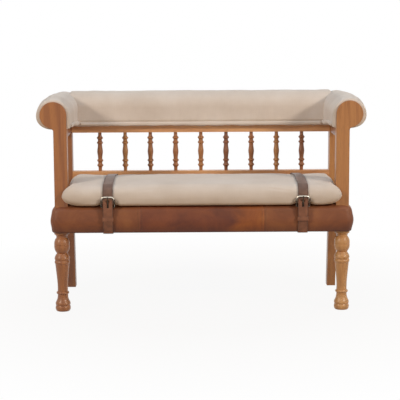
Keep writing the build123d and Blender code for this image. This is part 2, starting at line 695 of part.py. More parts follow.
def straps():
    """Upper strap, lower strap and keeper of each pair."""
    bow = (deck_front_y - keeper_thickness - 2 * soft_gap - strap_thickness / 2, deck_bottom_z + deck_edge[1][1])
    under_z = deck_bottom_z - strap_lift
    toe = (deck_front_y + deck_edge[0][0] - strap_lift, under_z)
    layer = strap_thickness + soft_gap
    lower_route = [
        (heel_y + fold_radius, heel_z - flap_length),
        (heel_y + fold_radius, heel_z + fold_radius),
        (heel_y - fold_radius, heel_z + fold_radius),
        (heel_y - fold_radius, heel_z - fold_radius),
        bow,
        toe,
        (toe[0] + hem_length, under_z),
    ]
    hem_radius = deck_edge_radii[0] + strap_lift
    lower_radii = [fold_radius, fold_radius, strap_bow_radius, strap_bow_radius, hem_radius]
    over = parallel(cushion_outline, strap_lift)
    slot_z = (heel_z - prong_slot_below, heel_z + prong_slot_above)
    for name, x in strap_positions.items():
        tail_z = deck_bottom_z + tail_heights[name]
        lean = (toe[0] - bow[0]) / (toe[1] - bow[1])
        if tail_z < bow[1]:
            tail = [(bow[0] - layer, bow[1]), (bow[0] - layer + lean * (tail_z - bow[1]), tail_z)]
            tail_radii = [strap_bow_radius, strap_bow_radius]
        else:
            tail = [(bow[0] - layer, tail_z)]
            tail_radii = [strap_bow_radius]
        upper_route = [
            (deck_rear_y + strap_lift - hem_length, under_z),
            (deck_rear_y + strap_lift, under_z),
            (deck_rear_y + strap_lift, deck_top_z + strap_lift),
            (cushion_rear_y + strap_lift, deck_top_z + strap_lift),
            *over[2:],
            (strap_y, heel_z - fold_radius),
            *tail,
        ]
        upper_radii = [hem_radius, deck_rear_radius + strap_lift, strap_bend_radius,
                       *(r + strap_lift for r in cushion_radii[2:]), *tail_radii]
        with BuildPart() as upper:
            add(strap(x, upper_route, upper_radii))
            add_box((x - prong_slot_width / 2, strap_y - layer, slot_z[0]),
                    (x + prong_slot_width / 2, strap_y + strap_thickness / 2 + soft_gap, slot_z[1]), Mode.SUBTRACT)
            drill_screws(screw_y["rear"])
        save(upper.part, f"upper_strap_{name}")
        with BuildPart() as lower:
            add(strap(x, lower_route, lower_radii))
            add_box((x - prong_slot_width / 2, strap_y + strap_thickness / 2 + soft_gap / 2, heel_z - 2 * fold_radius),
                    (x + prong_slot_width / 2, heel_y + 2 * fold_radius, heel_z + 2 * fold_radius), Mode.SUBTRACT)
            drill_screws(screw_y["front"])
        save(lower.part, f"lower_strap_{name}")
        inner_y = (bow[0] - layer - strap_thickness / 2 - 2 * soft_gap, bow[0] + strap_thickness / 2 + soft_gap)
        with BuildPart() as keeper:
            with BuildSketch(Plane.XY.offset(deck_bottom_z + keeper_rise)):
                with Locations((x, sum(inner_y) / 2)):
                    Rectangle(strap_width + 2 * (soft_gap + keeper_thickness),
                              inner_y[1] - inner_y[0] + 2 * keeper_thickness)
                    Rectangle(strap_width + 2 * soft_gap, inner_y[1] - inner_y[0], mode=Mode.SUBTRACT)
            extrude(amount=keeper_height)
        save(keeper.part, f"strap_keeper_{name}")
    head_z = under_z - strap_thickness / 2
    with BuildPart() as screws:
        for y in screw_y.values():
            with Locations(screw_places(y, head_z)):
                Cylinder(screw_radius, screw_length, align=(Align.CENTER, Align.CENTER, Align.MIN))
                Cylinder(screw_head_radius, screw_head_height, align=(Align.CENTER, Align.CENTER, Align.MAX))
    save(screws.part, "strap_screws")


def buckles():
    """Buckle frame that hinges on its heel bar, and the prong that hinges on the same bar."""
    half_width = strap_width / 2 + buckle_side_gap + bar_radius
    for name, x in strap_positions.items():
        heel = (x, heel_y, heel_z)
        frame_plane = Plane(heel, x_dir=(1, 0, 0), z_dir=(0, -cos(buckle_tilt), -sin(buckle_tilt)))
        with BuildPart() as frame:
            with BuildLine(frame_plane) as ring:
                FilletPolyline((-half_width, 0), (half_width, 0), (half_width, buckle_length),
                               (-half_width, buckle_length), close=True,
                               radius=[buckle_heel_radius, buckle_heel_radius, buckle_toe_radius, buckle_toe_radius])
            path = ring.wire()
            with BuildSketch(Plane(path @ 0, z_dir=path % 0)):
                Circle(bar_radius)
            sweep(path=path)
        save(frame.part, f"buckle_frame_{name}")
        eye = bar_radius + pivot_gap
        prong_plane = Plane(heel, x_dir=(0, cos(prong_tilt), sin(prong_tilt)), z_dir=(1, 0, 0))
        with BuildPart() as prong:
            with BuildSketch(prong_plane):
                Circle(eye + prong_wall)
                with Locations((0, prong_length / 2)):
                    Rectangle(prong_thickness, prong_length)
                Circle(eye, mode=Mode.SUBTRACT)
            extrude(amount=prong_width / 2, both=True)
        save(prong.part, f"buckle_prong_{name}")


front_legs()
front_posts()
rear_posts()
seat_frame()
seat_deck()
back_frame()
arm_rolls()
back_roll()
welts()
seat_cushion()
straps()
buckles()
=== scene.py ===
import math

import bmesh
import bpy
import numpy as np
from mathutils import Matrix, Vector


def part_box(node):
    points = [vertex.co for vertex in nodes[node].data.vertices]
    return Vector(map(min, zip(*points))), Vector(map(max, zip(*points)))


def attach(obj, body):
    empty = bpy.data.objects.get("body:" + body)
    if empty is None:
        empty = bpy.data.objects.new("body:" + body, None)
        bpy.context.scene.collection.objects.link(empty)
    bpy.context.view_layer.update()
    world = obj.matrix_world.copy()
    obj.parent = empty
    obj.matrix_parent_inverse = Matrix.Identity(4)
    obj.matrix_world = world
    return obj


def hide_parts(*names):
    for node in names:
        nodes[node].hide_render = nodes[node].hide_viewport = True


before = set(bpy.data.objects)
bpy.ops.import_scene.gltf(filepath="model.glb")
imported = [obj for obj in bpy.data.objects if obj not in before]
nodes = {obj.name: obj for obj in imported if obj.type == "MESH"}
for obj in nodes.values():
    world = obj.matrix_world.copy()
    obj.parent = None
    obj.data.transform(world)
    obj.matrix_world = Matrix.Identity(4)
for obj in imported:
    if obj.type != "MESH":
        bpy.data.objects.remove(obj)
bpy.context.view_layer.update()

MM = 0.001
SIDES = {"left": -1, "right": 1}

# Places in millimetres, in the CAD frame
FRONT_POST_FRONT_Y = -219.7
ROLL = {"x": 538.5, "z": 721.5, "radius": 61.5, "drop": 64.0, "swell": 7.0,
        "front_y": -210.7, "rear_y": 263.0}
SCROLL = {"x": 537.5, "z": 725.5, "radius": 48.8}
ARM_RISE = 17.0
BACK = {"y": 201.5, "z": 725.5, "radius": 61.5, "drop": 73.0, "half_x": 513.6}
DECK = {"half_x": 557.0, "front_y": -242.7, "rear_y": 219.0, "bottom_z": 296.5, "top_z": 400.0}
CUSHION = {"front_y": -248.7, "rear_y": 151.0, "bottom_z": 400.3, "half_x": 493.5, "ear_x": 510.0}
CUSHION_OUTLINE = [(-248.7, 400.3), (151.0, 400.3), (151.0, 462.3), (-48.85, 482.3), (-248.7, 470.3)]
CUSHION_RADII = [33.0, 28.0, 28.0, 1000.0, 36.0]
# the deck's front edge as (inset, height) corners from the underside up, and the radii of its two bends
DECK_EDGE = [(8, 0), (0, 41), (9, 89), (40, 103.5)]
DECK_BENDS = [60, 22]
STRAP_X = {"left": -342.0, "right": 367.2}
STRAP_WIDTH = 37.0
STRAP_THICKNESS = 3.0
PRONG_SLOT = 7.0
SEAM_X = 226.0


# Shapes

def smooth(low, high, value):
    """Smooth step: 0 below low, 1 above high, 3t^2 - 2t^3 between."""
    t = np.clip((value - low) / (high - low), 0, 1)
    return t * t * (3 - 2 * t)


def ripples(points, length, seed, count=24):
    """Smooth noise from -1 to 1: the mean of sine waves of about one wavelength in set directions."""
    draw = np.random.RandomState(seed)
    ways = draw.normal(size=(count, 3))
    ways /= np.linalg.norm(ways, axis=1)[:, None]
    ways *= math.tau / (length * draw.uniform(0.6, 1.7, count)[:, None])
    waves = np.sin(points @ ways.T + draw.uniform(0, math.tau, count))
    return waves.sum(-1) * math.sqrt(2 / count) / 2


def evenly(route, count, closed=False):
    """The same route as count points at even steps of its length."""
    line = np.vstack([route, route[:1]]) if closed else route
    reach = np.concatenate([[0], np.cumsum(np.linalg.norm(np.diff(line, axis=0), axis=1))])
    keep = np.concatenate([[True], np.diff(reach) > 1e-9])
    at = np.linspace(0, reach[-1], count + 1)[:-1] if closed else np.linspace(0, reach[-1], count)
    return np.stack([np.interp(at, reach[keep], line[keep, k]) for k in range(line.shape[1])], -1)


def outset(points, shift):
    """Corners of a closed counter-clockwise outline with each side moved outwards by shift."""
    here = np.array(points)
    sides = np.roll(here, -1, 0) - here
    normals = np.stack([sides[:, 1], -sides[:, 0]], -1) / np.linalg.norm(sides, axis=1)[:, None]
    before = np.roll(normals, 1, 0)
    return here + shift * (normals + before) / (1 + (normals * before).sum(1))[:, None]


def rounded(points, radii, closed=False):
    """Route of straight runs joined by tangent arcs: each corner's arc starts r tan(turn / 2) before it."""
    arc_points = 13
    corners = np.array(points, float)
    count = len(corners)
    inner = range(count) if closed else range(1, count - 1)
    spans = [] if closed else [corners[:1]]
    for place, radius in zip(inner, radii):
        corner = corners[place]
        back = corners[place - 1] - corner
        ahead = corners[(place + 1) % count] - corner
        back /= np.linalg.norm(back)
        ahead /= np.linalg.norm(ahead)
        half_turn = (math.pi - math.acos(np.clip(back @ ahead, -1, 1))) / 2
        middle = (back + ahead) / np.linalg.norm(back + ahead)
        centre = corner + middle * radius / math.cos(half_turn)
        swing = np.linspace(-half_turn, half_turn, arc_points)[:, None]
        across = (ahead - back) / np.linalg.norm(ahead - back)
        spans.append(centre + radius * (np.sin(swing) * across - np.cos(swing) * middle))
    if not closed:
        spans.append(corners[-1:])
    return np.vstack(spans)


def face_normals(points, around):
    """Unit normals of a grid, from the cross product of its two directions."""
    pad = np.concatenate([points[:, -1:], points, points[:, :1]], 1) if around else points
    along = np.gradient(pad, axis=0)
    across = np.gradient(pad, axis=1)
    normal = np.cross(along, across)
    if around:
        normal = normal[:, 1:-1]
    return normal / np.maximum(np.linalg.norm(normal, axis=-1), 1e-12)[..., None]


def grid(points, around=False, uv=None):
    """Vertices, quads and texture places of a grid of points; around joins its last column to its first."""
    rows, columns = points.shape[:2]
    if around:
        points = np.concatenate([points, points[:, :1]], 1)
        if uv is not None:
            uv = np.concatenate([uv, uv[:, :1] + (uv[:, -1:] - uv[:, :1]) * columns / (columns - 1)], 1)
        columns += 1
    i, j = np.meshgrid(np.arange(rows - 1), np.arange(columns - 1), indexing="ij")
    corner = i * columns + j
    quads = np.stack([corner, corner + 1, corner + columns + 1, corner + columns], -1).reshape(-1, 4)
    places = np.zeros((rows * columns, 2)) if uv is None else uv.reshape(-1, 2)
    return points.reshape(-1, 3), quads, places


def piece(name, grids, material, body="bench", stands_for=()):
    """One object from grids in millimetres: meeting edges merged, faces outwards, smooth, in its body."""
    vertices, quads, places, start = [], [], [], 0
    for part_vertices, part_quads, part_places in grids:
        vertices.append(part_vertices)
        quads.append(part_quads + start)
        places.append(part_places)
        start += len(part_vertices)
    mesh = bpy.data.meshes.new(name)
    mesh.from_pydata((np.vstack(vertices) * MM).tolist(), [], np.vstack(quads).tolist())
    layer = mesh.uv_layers.new(name="UVMap")
    corners = np.zeros(len(mesh.loops), np.int32)
    mesh.loops.foreach_get("vertex_index", corners)
    layer.data.foreach_set("uv", (np.vstack(places)[corners] * MM).astype(np.float32).ravel())
    build = bmesh.new()
    build.from_mesh(mesh)
    bmesh.ops.remove_doubles(build, verts=build.verts, dist=2e-6)
    bmesh.ops.dissolve_degenerate(build, edges=build.edges, dist=1e-6)
    bmesh.ops.recalc_face_normals(build, faces=build.faces)
    build.to_mesh(mesh)
    build.free()
    mesh.polygons.foreach_set("use_smooth", np.ones(len(mesh.polygons), bool))
    mesh.materials.append(material)
    made = bpy.data.objects.new(name, mesh)
    bpy.context.scene.collection.objects.link(made)
    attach(made, body)
    if stands_for:
        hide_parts(*stands_for)
    return made


def puffed(made, held, cap):
    """Cloth run on a padded piece, in millimetres: pressure inside, no gravity, 20 steps. Points where
    held(x, y, z) is true stay, each move m is softened to cap tanh(m / cap), and the result is written to
    the mesh."""
    steps, pressure = 20, 4.0
    scene = bpy.context.scene
    rest = np.zeros(len(made.data.vertices) * 3)
    made.data.vertices.foreach_get("co", rest)
    rest = rest.reshape(-1, 3) / MM
    group = made.vertex_groups.new(name="held")
    group.add(np.flatnonzero(held(*rest.T)).tolist(), 1.0, "REPLACE")
    cloth = made.modifiers.new("Cloth", "CLOTH")
    cloth.settings.quality = 5
    cloth.settings.vertex_group_mass = group.name
    cloth.settings.use_pressure = True
    cloth.settings.uniform_pressure_force = pressure
    cloth.settings.effector_weights.gravity = 0.0
    cloth.point_cache.frame_start, cloth.point_cache.frame_end = 1, steps
    for step in range(1, steps + 1):
        scene.frame_set(step)
    moved = np.zeros(rest.size)
    made.evaluated_get(bpy.context.evaluated_depsgraph_get()).data.vertices.foreach_get("co", moved)
    move = moved.reshape(-1, 3) / MM - rest
    size = np.maximum(np.linalg.norm(move, axis=1), 1e-6)[:, None]
    made.modifiers.remove(cloth)
    made.vertex_groups.remove(group)
    scene.frame_set(1)
    made.data.vertices.foreach_set("co", ((rest + move * cap * np.tanh(size / cap) / size) * MM).ravel())
    made.data.update()


# Materials

def srgb(code):
    """Linear colour of an sRGB hex value."""
    value = np.array([int(code[k:k + 2], 16) for k in (1, 3, 5)]) / 255
    linear = np.where(value <= 0.04045, value / 12.92, ((value + 0.055) / 1.055) ** 2.4)
    return (*linear.tolist(), 1.0)


def add(tree, kind, inputs=None, stops=None, **settings):
    """Adds a node with its settings, links or values on its inputs, and a ramp's colour stops."""
    made = tree.nodes.new(kind)
    for key, value in settings.items():
        setattr(made, key, value)
    for key, value in (inputs or {}).items():
        if isinstance(value, bpy.types.NodeSocket):
            tree.links.new(value, made.inputs[key])
        else:
            made.inputs[key].default_value = value
    if stops:
        ramp = made.color_ramp.elements
        while len(ramp) < len(stops):
            ramp.new(0.5)
        for element, (place, code) in zip(ramp, stops):
            element.position = place
            element.color = srgb(code)
    return made


def finish(name, roughness, **sockets):
    """A new material, its node tree and its shader with the values that are the same all over."""
    made = bpy.data.materials.new(name)
    made.use_nodes = True
    shader = made.node_tree.nodes["Principled BSDF"]
    shader.inputs["Roughness"].default_value = roughness
    for key, value in sockets.items():
        shader.inputs[key.replace("_", " ")].default_value = value
    return made, made.node_tree, shader


BAND = math.tau / 20    # a wave texture's band is this wide at scale 1, in metres


def mango_wood(name, along, stops, shift):
    """Waxed mango wood, planed or turned: soft brown streaks and fine dark pores drawn out along the
    grain."""
    made, tree, shader = finish(name, 0.45, Coat_Weight=0.3, Coat_Roughness=0.28)
    place = add(tree, "ShaderNodeTexCoord").outputs["Object"]
    stretch = [1.0, 1.0, 1.0]
    stretch[along] = 0.07
    fibres = add(tree, "ShaderNodeMapping", {"Vector": place, "Location": shift, "Scale": stretch}).outputs[0]
    # streaks about 38 mm wide, growth bands 17 mm, pores 1.6 mm
    streaks = add(tree, "ShaderNodeTexNoise", {"Vector": fibres, "Scale": 1 / 0.038, "Detail": 4.0,
                                               "Roughness": 0.55, "Distortion": 0.8}).outputs[0]
    bands = add(tree, "ShaderNodeTexWave", {"Vector": fibres, "Scale": BAND / 0.017, "Distortion": 9.0,
                                            "Detail": 3.0, "Detail Scale": 0.7}, bands_direction="DIAGONAL")
    pores = add(tree, "ShaderNodeTexNoise", {"Vector": fibres, "Scale": 1 / 0.0016, "Detail": 2.0}).outputs[0]
    mixed = add(tree, "ShaderNodeMix", {0: 0.1, 2: streaks, 3: bands.outputs["Fac"]}).outputs[0]
    colour = add(tree, "ShaderNodeValToRGB", {"Fac": mixed}, stops=stops).outputs[0]
    dark = add(tree, "ShaderNodeMapRange", {"Value": pores, "From Min": 0.56, "From Max": 0.72,
                                            "To Min": 0.0, "To Max": 0.3}).outputs[0]
    shade = add(tree, "ShaderNodeMix", {0: dark, 6: colour, 7: srgb("#64391F")}, data_type="RGBA").outputs[2]
    tree.links.new(shade, shader.inputs["Base Color"])
    rough = add(tree, "ShaderNodeMapRange", {"Value": mixed, "To Min": 0.54, "To Max": 0.38}).outputs[0]
    tree.links.new(rough, shader.inputs["Roughness"])
    bump = add(tree, "ShaderNodeBump", {"Strength": 0.3, "Distance": 0.0005, "Height": pores}).outputs[0]
    tree.links.new(bump, shader.inputs["Normal"])
    return made


def linen(name, warp, weft, stops):
    """Woven linen in undyed yarn: plain weave, thick slubs both ways and a soft, matte, slightly uneven
    colour."""
    made, tree, shader = finish(name, 0.92, Sheen_Weight=0.18, Sheen_Roughness=0.5)
    place = add(tree, "ShaderNodeTexCoord").outputs["Object"]
    split = add(tree, "ShaderNodeSeparateXYZ", {0: place}).outputs
    over = add(tree, "ShaderNodeMath", {0: split[weft[0]], 1: split[weft[1]]}).outputs[0]
    cloth = add(tree, "ShaderNodeCombineXYZ", {0: split[warp], 1: over}).outputs[0]
    # real yarn is 0.8 mm apart: drawn at 2.6 mm so that the weave shows
    threads = [add(tree, "ShaderNodeTexWave", {"Vector": cloth, "Scale": BAND / 0.0026, "Distortion": 1.2,
                                               "Detail": 2.0, "Detail Scale": 1.5},
                   bands_direction=way).outputs["Fac"] for way in "XY"]
    weave = add(tree, "ShaderNodeMath", {0: threads[0], 1: threads[1]}, operation="MULTIPLY").outputs[0]
    slubs = []
    for stretch in ((0.12, 1.0, 1.0), (1.0, 0.12, 1.0)):
        drawn = add(tree, "ShaderNodeMapping", {"Vector": cloth, "Scale": stretch}).outputs[0]
        slubs.append(add(tree, "ShaderNodeTexNoise", {"Vector": drawn, "Scale": 1 / 0.0045,
                                                      "Detail": 2.0}).outputs[0])
    slub = add(tree, "ShaderNodeMath", {0: slubs[0], 1: slubs[1]}, operation="MULTIPLY").outputs[0]
    cloud = add(tree, "ShaderNodeTexNoise", {"Vector": place, "Scale": 1 / 0.14, "Detail": 3.0}).outputs[0]
    mixed = add(tree, "ShaderNodeMix", {0: 0.78, 2: slub, 3: cloud}).outputs[0]
    colour = add(tree, "ShaderNodeValToRGB", {"Fac": mixed}, stops=stops).outputs[0]
    gaps = add(tree, "ShaderNodeMapRange", {"Value": weave, "From Min": 0.0, "From Max": 0.5,
                                            "To Min": 0.06, "To Max": 0.0}).outputs[0]
    shade = add(tree, "ShaderNodeMix", {0: gaps, 6: colour, 7: srgb("#A08D75")}, data_type="RGBA").outputs[2]
    tree.links.new(shade, shader.inputs["Base Color"])
    height = add(tree, "ShaderNodeMath", {0: weave, 1: slub}).outputs[0]
    bump = add(tree, "ShaderNodeBump", {"Strength": 0.25, "Distance": 0.0005, "Height": height}).outputs[0]
    tree.links.new(bump, shader.inputs["Normal"])
    return made


def leather_grain(tree, place, size):
    """Height of a leather's pebbled grain and fine creases, with pebbles of the given size in metres."""
    pebbles = add(tree, "ShaderNodeTexVoronoi", {"Vector": place, "Scale": 1 / size},
                  feature="F1").outputs["Distance"]
    creases = add(tree, "ShaderNodeTexNoise", {"Vector": place, "Scale": 1 / (size * 9), "Detail": 6.0,
                                               "Roughness": 0.65, "Distortion": 0.8}).outputs[0]
    return add(tree, "ShaderNodeMix", {0: 0.55, 2: pebbles, 3: creases}).outputs[0]


def deck_hide(name):
    """Aged vegetable-tanned hide: three panels of differing brown, clouded, painted paler along the upper
    edge as painted top light and darker along the lower edge as painted shade.
    """
    made, tree, shader = finish(name, 0.5, Specular_IOR_Level=0.4)
    place = add(tree, "ShaderNodeTexCoord").outputs["Object"]
    split = add(tree, "ShaderNodeSeparateXYZ", {0: place}).outputs
    cloud = add(tree, "ShaderNodeTexNoise", {"Vector": place, "Scale": 1 / 0.11, "Detail": 5.0,
                                             "Roughness": 0.62, "Distortion": 0.5}).outputs[0]
    outer = add(tree, "ShaderNodeValToRGB", {"Fac": cloud},
                stops=[(0.3, "#643722"), (0.5, "#804A2D"), (0.7, "#925A36")]).outputs[0]
    middle = add(tree, "ShaderNodeValToRGB", {"Fac": cloud},
                 stops=[(0.3, "#5A2D20"), (0.5, "#763F29"), (0.7, "#884D30")]).outputs[0]
    tawny = add(tree, "ShaderNodeValToRGB", {"Fac": cloud},
                stops=[(0.3, "#7E4422"), (0.5, "#965429"), (0.7, "#AA6733")]).outputs[0]
    wander = add(tree, "ShaderNodeMath", {0: cloud, 1: 0.12, 2: split[0]},
                 operation="MULTIPLY_ADD").outputs[0]
    # the tawny patch lies in the middle panel, towards the right-hand seam
    patch = add(tree, "ShaderNodeMapRange", {"Value": wander, "From Min": 0.15, "From Max": 0.2,
                                             "To Min": 0.0, "To Max": 0.85}).outputs[0]
    centre = add(tree, "ShaderNodeMix", {0: patch, 6: middle, 7: tawny}, data_type="RGBA").outputs[2]
    reach = add(tree, "ShaderNodeMath", {0: split[0]}, operation="ABSOLUTE").outputs[0]
    beyond = add(tree, "ShaderNodeMath", {0: reach, 1: SEAM_X * MM}, operation="GREATER_THAN").outputs[0]
    panels = add(tree, "ShaderNodeMix", {0: beyond, 6: centre, 7: outer}, data_type="RGBA").outputs[2]
    # painted top light: the hide is painted paler towards its top edge, where the light falls on it
    painted_top_light = add(tree, "ShaderNodeMapRange", {"Value": split[2], "From Min": 0.34, "From Max": 0.395,
                                            "To Min": 0.0, "To Max": 0.1}).outputs[0]
    upper = add(tree, "ShaderNodeMix", {0: painted_top_light, 6: panels, 7: srgb("#A4714F")}, data_type="RGBA").outputs[2]
    # painted shade: the hide is painted darker along its bottom edge, where shade falls under the deck
    low = add(tree, "ShaderNodeMapRange", {"Value": split[2], "From Min": 0.297, "From Max": 0.325,
                                           "To Min": 0.6, "To Max": 0.0}).outputs[0]
    colour = add(tree, "ShaderNodeMix", {0: low, 6: upper, 7: srgb("#3C1E16")}, data_type="RGBA").outputs[2]
    tree.links.new(colour, shader.inputs["Base Color"])
    grain = leather_grain(tree, place, 0.0028)
    rough = add(tree, "ShaderNodeMapRange", {"Value": cloud, "To Min": 0.42, "To Max": 0.62}).outputs[0]
    tree.links.new(rough, shader.inputs["Roughness"])
    bump = add(tree, "ShaderNodeBump", {"Strength": 0.4, "Distance": 0.0008, "Height": grain}).outputs[0]
    tree.links.new(bump, shader.inputs["Normal"])
    return made


def strap_hide(name, stops, low_stops, edge):
    """Bridle leather cut into straps: its own reddish brown on the hanging part below the buckle, painted
    greyer above it as a painted sky reflection on the upward-facing part, with darker burnished edges and
    fine creases."""
    made, tree, shader = finish(name, 0.46, Specular_IOR_Level=0.4)
    place = add(tree, "ShaderNodeTexCoord")
    cloud = add(tree, "ShaderNodeTexNoise", {"Vector": place.outputs["Object"], "Scale": 1 / 0.05,
                                             "Detail": 5.0, "Roughness": 0.6}).outputs[0]
    over = add(tree, "ShaderNodeValToRGB", {"Fac": cloud}, stops=stops).outputs[0]
    under = add(tree, "ShaderNodeValToRGB", {"Fac": cloud}, stops=low_stops).outputs[0]
    # painted sky sheen: where the strap lies high on the cushion and faces up it is painted in the greyer
    # over tones; below, the under tones are the leather's own colour
    height = add(tree, "ShaderNodeSeparateXYZ", {0: place.outputs["Object"]}).outputs[2]
    painted_sky_sheen = add(tree, "ShaderNodeMapRange", {"Value": height, "From Min": 0.412,
                                              "From Max": 0.432}).outputs[0]
    colour = add(tree, "ShaderNodeMix", {0: painted_sky_sheen, 6: under, 7: over}, data_type="RGBA").outputs[2]
    across = add(tree, "ShaderNodeSeparateXYZ", {0: place.outputs["UV"]}).outputs[1]
    rim = add(tree, "ShaderNodeMath", {0: across}, operation="ABSOLUTE").outputs[0]
    dark = add(tree, "ShaderNodeMapRange", {"Value": rim, "From Min": 0.0145, "From Max": 0.0185,
                                            "To Min": 0.0, "To Max": 0.75}).outputs[0]
    shade = add(tree, "ShaderNodeMix", {0: dark, 6: colour, 7: srgb(edge)}, data_type="RGBA").outputs[2]
    tree.links.new(shade, shader.inputs["Base Color"])
    grain = leather_grain(tree, place.outputs["Object"], 0.0014)
    bump = add(tree, "ShaderNodeBump", {"Strength": 0.3, "Distance": 0.0005, "Height": grain}).outputs[0]
    tree.links.new(bump, shader.inputs["Normal"])
    return made


def antique_metal(name, bright, dull, patch_mm, painted_highlight_z, roughness):
    """Cast and tumbled metal with a toned surface that wear has rubbed bright in patches: dull, and painted
    brighter above the given height as a painted highlight on the top."""
    made, tree, shader = finish(name, roughness, Metallic=1.0)
    place = add(tree, "ShaderNodeTexCoord").outputs["Object"]
    tarnish = add(tree, "ShaderNodeTexNoise", {"Vector": place, "Scale": 1 / (patch_mm * MM),
                                               "Detail": 5.0}).outputs[0]
    height = add(tree, "ShaderNodeSeparateXYZ", {0: place}).outputs[2]
    # painted highlight: the metal is painted brighter towards and above the given height, where light catches
    # the top bar
    upper = add(tree, "ShaderNodeMapRange", {"Value": height, "From Min": (painted_highlight_z - 8) * MM,
                                             "From Max": painted_highlight_z * MM, "To Min": -0.25,
                                             "To Max": 0.2}).outputs[0]
    wear = add(tree, "ShaderNodeMath", {0: tarnish, 1: upper}).outputs[0]
    colour = add(tree, "ShaderNodeValToRGB", {"Fac": wear}, stops=[(0.3, dull), (0.65, bright)]).outputs[0]
    tree.links.new(colour, shader.inputs["Base Color"])
    rough = add(tree, "ShaderNodeMapRange", {"Value": wear, "To Min": roughness + 0.2,
                                             "To Max": roughness - 0.1}).outputs[0]
    tree.links.new(rough, shader.inputs["Roughness"])
    bump = add(tree, "ShaderNodeBump", {"Strength": 0.15, "Distance": 0.0003, "Height": tarnish}).outputs[0]
    tree.links.new(bump, shader.inputs["Normal"])
    return made


def plain_cloth(name, stops, fibre_mm, roughness):
    """Felted or foamed sheet: short tangled fibres or open cells in one muted colour."""
    made, tree, shader = finish(name, roughness)
    place = add(tree, "ShaderNodeTexCoord").outputs["Object"]
    fibres = add(tree, "ShaderNodeTexNoise", {"Vector": place, "Scale": 1 / (fibre_mm * MM), "Detail": 4.0,
                                              "Distortion": 1.5}).outputs[0]
    colour = add(tree, "ShaderNodeValToRGB", {"Fac": fibres}, stops=stops).outputs[0]
    tree.links.new(colour, shader.inputs["Base Color"])
    bump = add(tree, "ShaderNodeBump", {"Strength": 0.3, "Distance": 0.0005, "Height": fibres}).outputs[0]
    tree.links.new(bump, shader.inputs["Normal"])
    return made


X, Y, Z = 0, 1, 2
# the greyer first tones are a painted sky reflection for the strap's upward-facing part; STRAP_RED is the
# leather's own colour
STRAP_PAINTED_SKY_SHEEN = [(0.3, "#5A4238"), (0.55, "#75594C"), (0.75, "#856758")]
STRAP_RED = [(0.3, "#6B432F"), (0.55, "#8A5A42"), (0.75, "#9A6A4E")]
WOOD_LEFT = [(0.3, "#8C5530"), (0.5, "#A4683A"), (0.7, "#B37641")]
WOOD_RIGHT = [(0.3, "#986034"), (0.5, "#B47A46"), (0.7, "#C0884E")]
WOOD_SHADE = [(0.3, "#744224"), (0.5, "#905832"), (0.7, "#A66C3A")]
WOOD_RAIL = [(0.3, "#BA8052"), (0.5, "#D89F6E"), (0.7, "#E2AE7A")]
WOOD_PALE = [(0.3, "#A87040"), (0.5, "#C69058"), (0.7, "#D2A068")]
LINEN_TONES = [(0.3, "#D6C7BB"), (0.45, "#DDCFC4"), (0.6, "#E3D6CC")]

post_wood = {"left": mango_wood("mango_post_left", Z, WOOD_LEFT, (0.3, 0.1, 0.0)),
             "right": mango_wood("mango_post_right", Z, WOOD_RIGHT, (0.0, 0.4, 0.2))}
leg_wood = {"left": mango_wood("turned_mango_leg_left", Z, WOOD_LEFT, (0.52, 0.2, 0.1)),
            "right": mango_wood("turned_mango_leg_right", Z, WOOD_PALE, (-0.51, 0.19, 0.0))}
rear_wood = {"left": mango_wood("mango_rear_post_left", Z, WOOD_SHADE, (0.1, 0.7, 0.3)),
             "right": mango_wood("mango_rear_post_right", Z, WOOD_RIGHT, (0.4, 0.2, 0.6))}
rail_wood = mango_wood("mango_back_rail", X, WOOD_RAIL, (0.2, 0.0, 0.5))
arm_wood = mango_wood("mango_arm_rail", Y, WOOD_SHADE, (0.0, 0.6, 0.1))
spindle_woods = [mango_wood("turned_mango_spindle_dark", Z, WOOD_SHADE, (0.0, -0.18, 0.0)),
                 mango_wood("turned_mango_spindle_pale", Z, WOOD_RIGHT, (0.01, -0.178, 0.4)),
                 mango_wood("turned_mango_spindle_mid", Z, WOOD_LEFT, (0.02, -0.176, 0.9))]
hidden_wood = mango_wood("sawn_frame_wood", X, WOOD_RIGHT, (0.4, 0.4, 0.0))
cushion_linen = linen("cushion_linen", X, (Y, Z), LINEN_TONES)
arm_linen = linen("arm_linen", Y, (X, Z), LINEN_TONES)
back_linen = linen("back_linen", X, (Y, Z), LINEN_TONES)
deck_leather = deck_hide("aged_deck_hide")
upper_leather = strap_hide("bridle_leather_upper", STRAP_PAINTED_SKY_SHEEN, STRAP_RED, "#3A261E")
lower_leather = strap_hide("bridle_leather_lower", STRAP_RED, STRAP_RED, "#3A241A")
thread = plain_cloth("waxed_thread", [(0.3, "#5A3F2E"), (0.7, "#7E5E46")], 0.6, 0.7)
buckle_metal = antique_metal("antique_nickel", "#D2C8B8", "#4A3E33", 7.0, 428.0, 0.32)
prong_metal = antique_metal("antique_nickel_prong", "#8C8172", "#4A3E33", 7.0, 470.0, 0.36)
screw_metal = antique_metal("plain_steel", "#B4B2AC", "#8A8780", 4.0, 0.0, 0.4)
dust_cloth = plain_cloth("black_dust_cloth", [(0.3, "#141414"), (0.7, "#242322")], 1.5, 0.95)
padding = plain_cloth("padding", [(0.3, "#CFC29A"), (0.7, "#E4DBBB")], 2.5, 0.9)

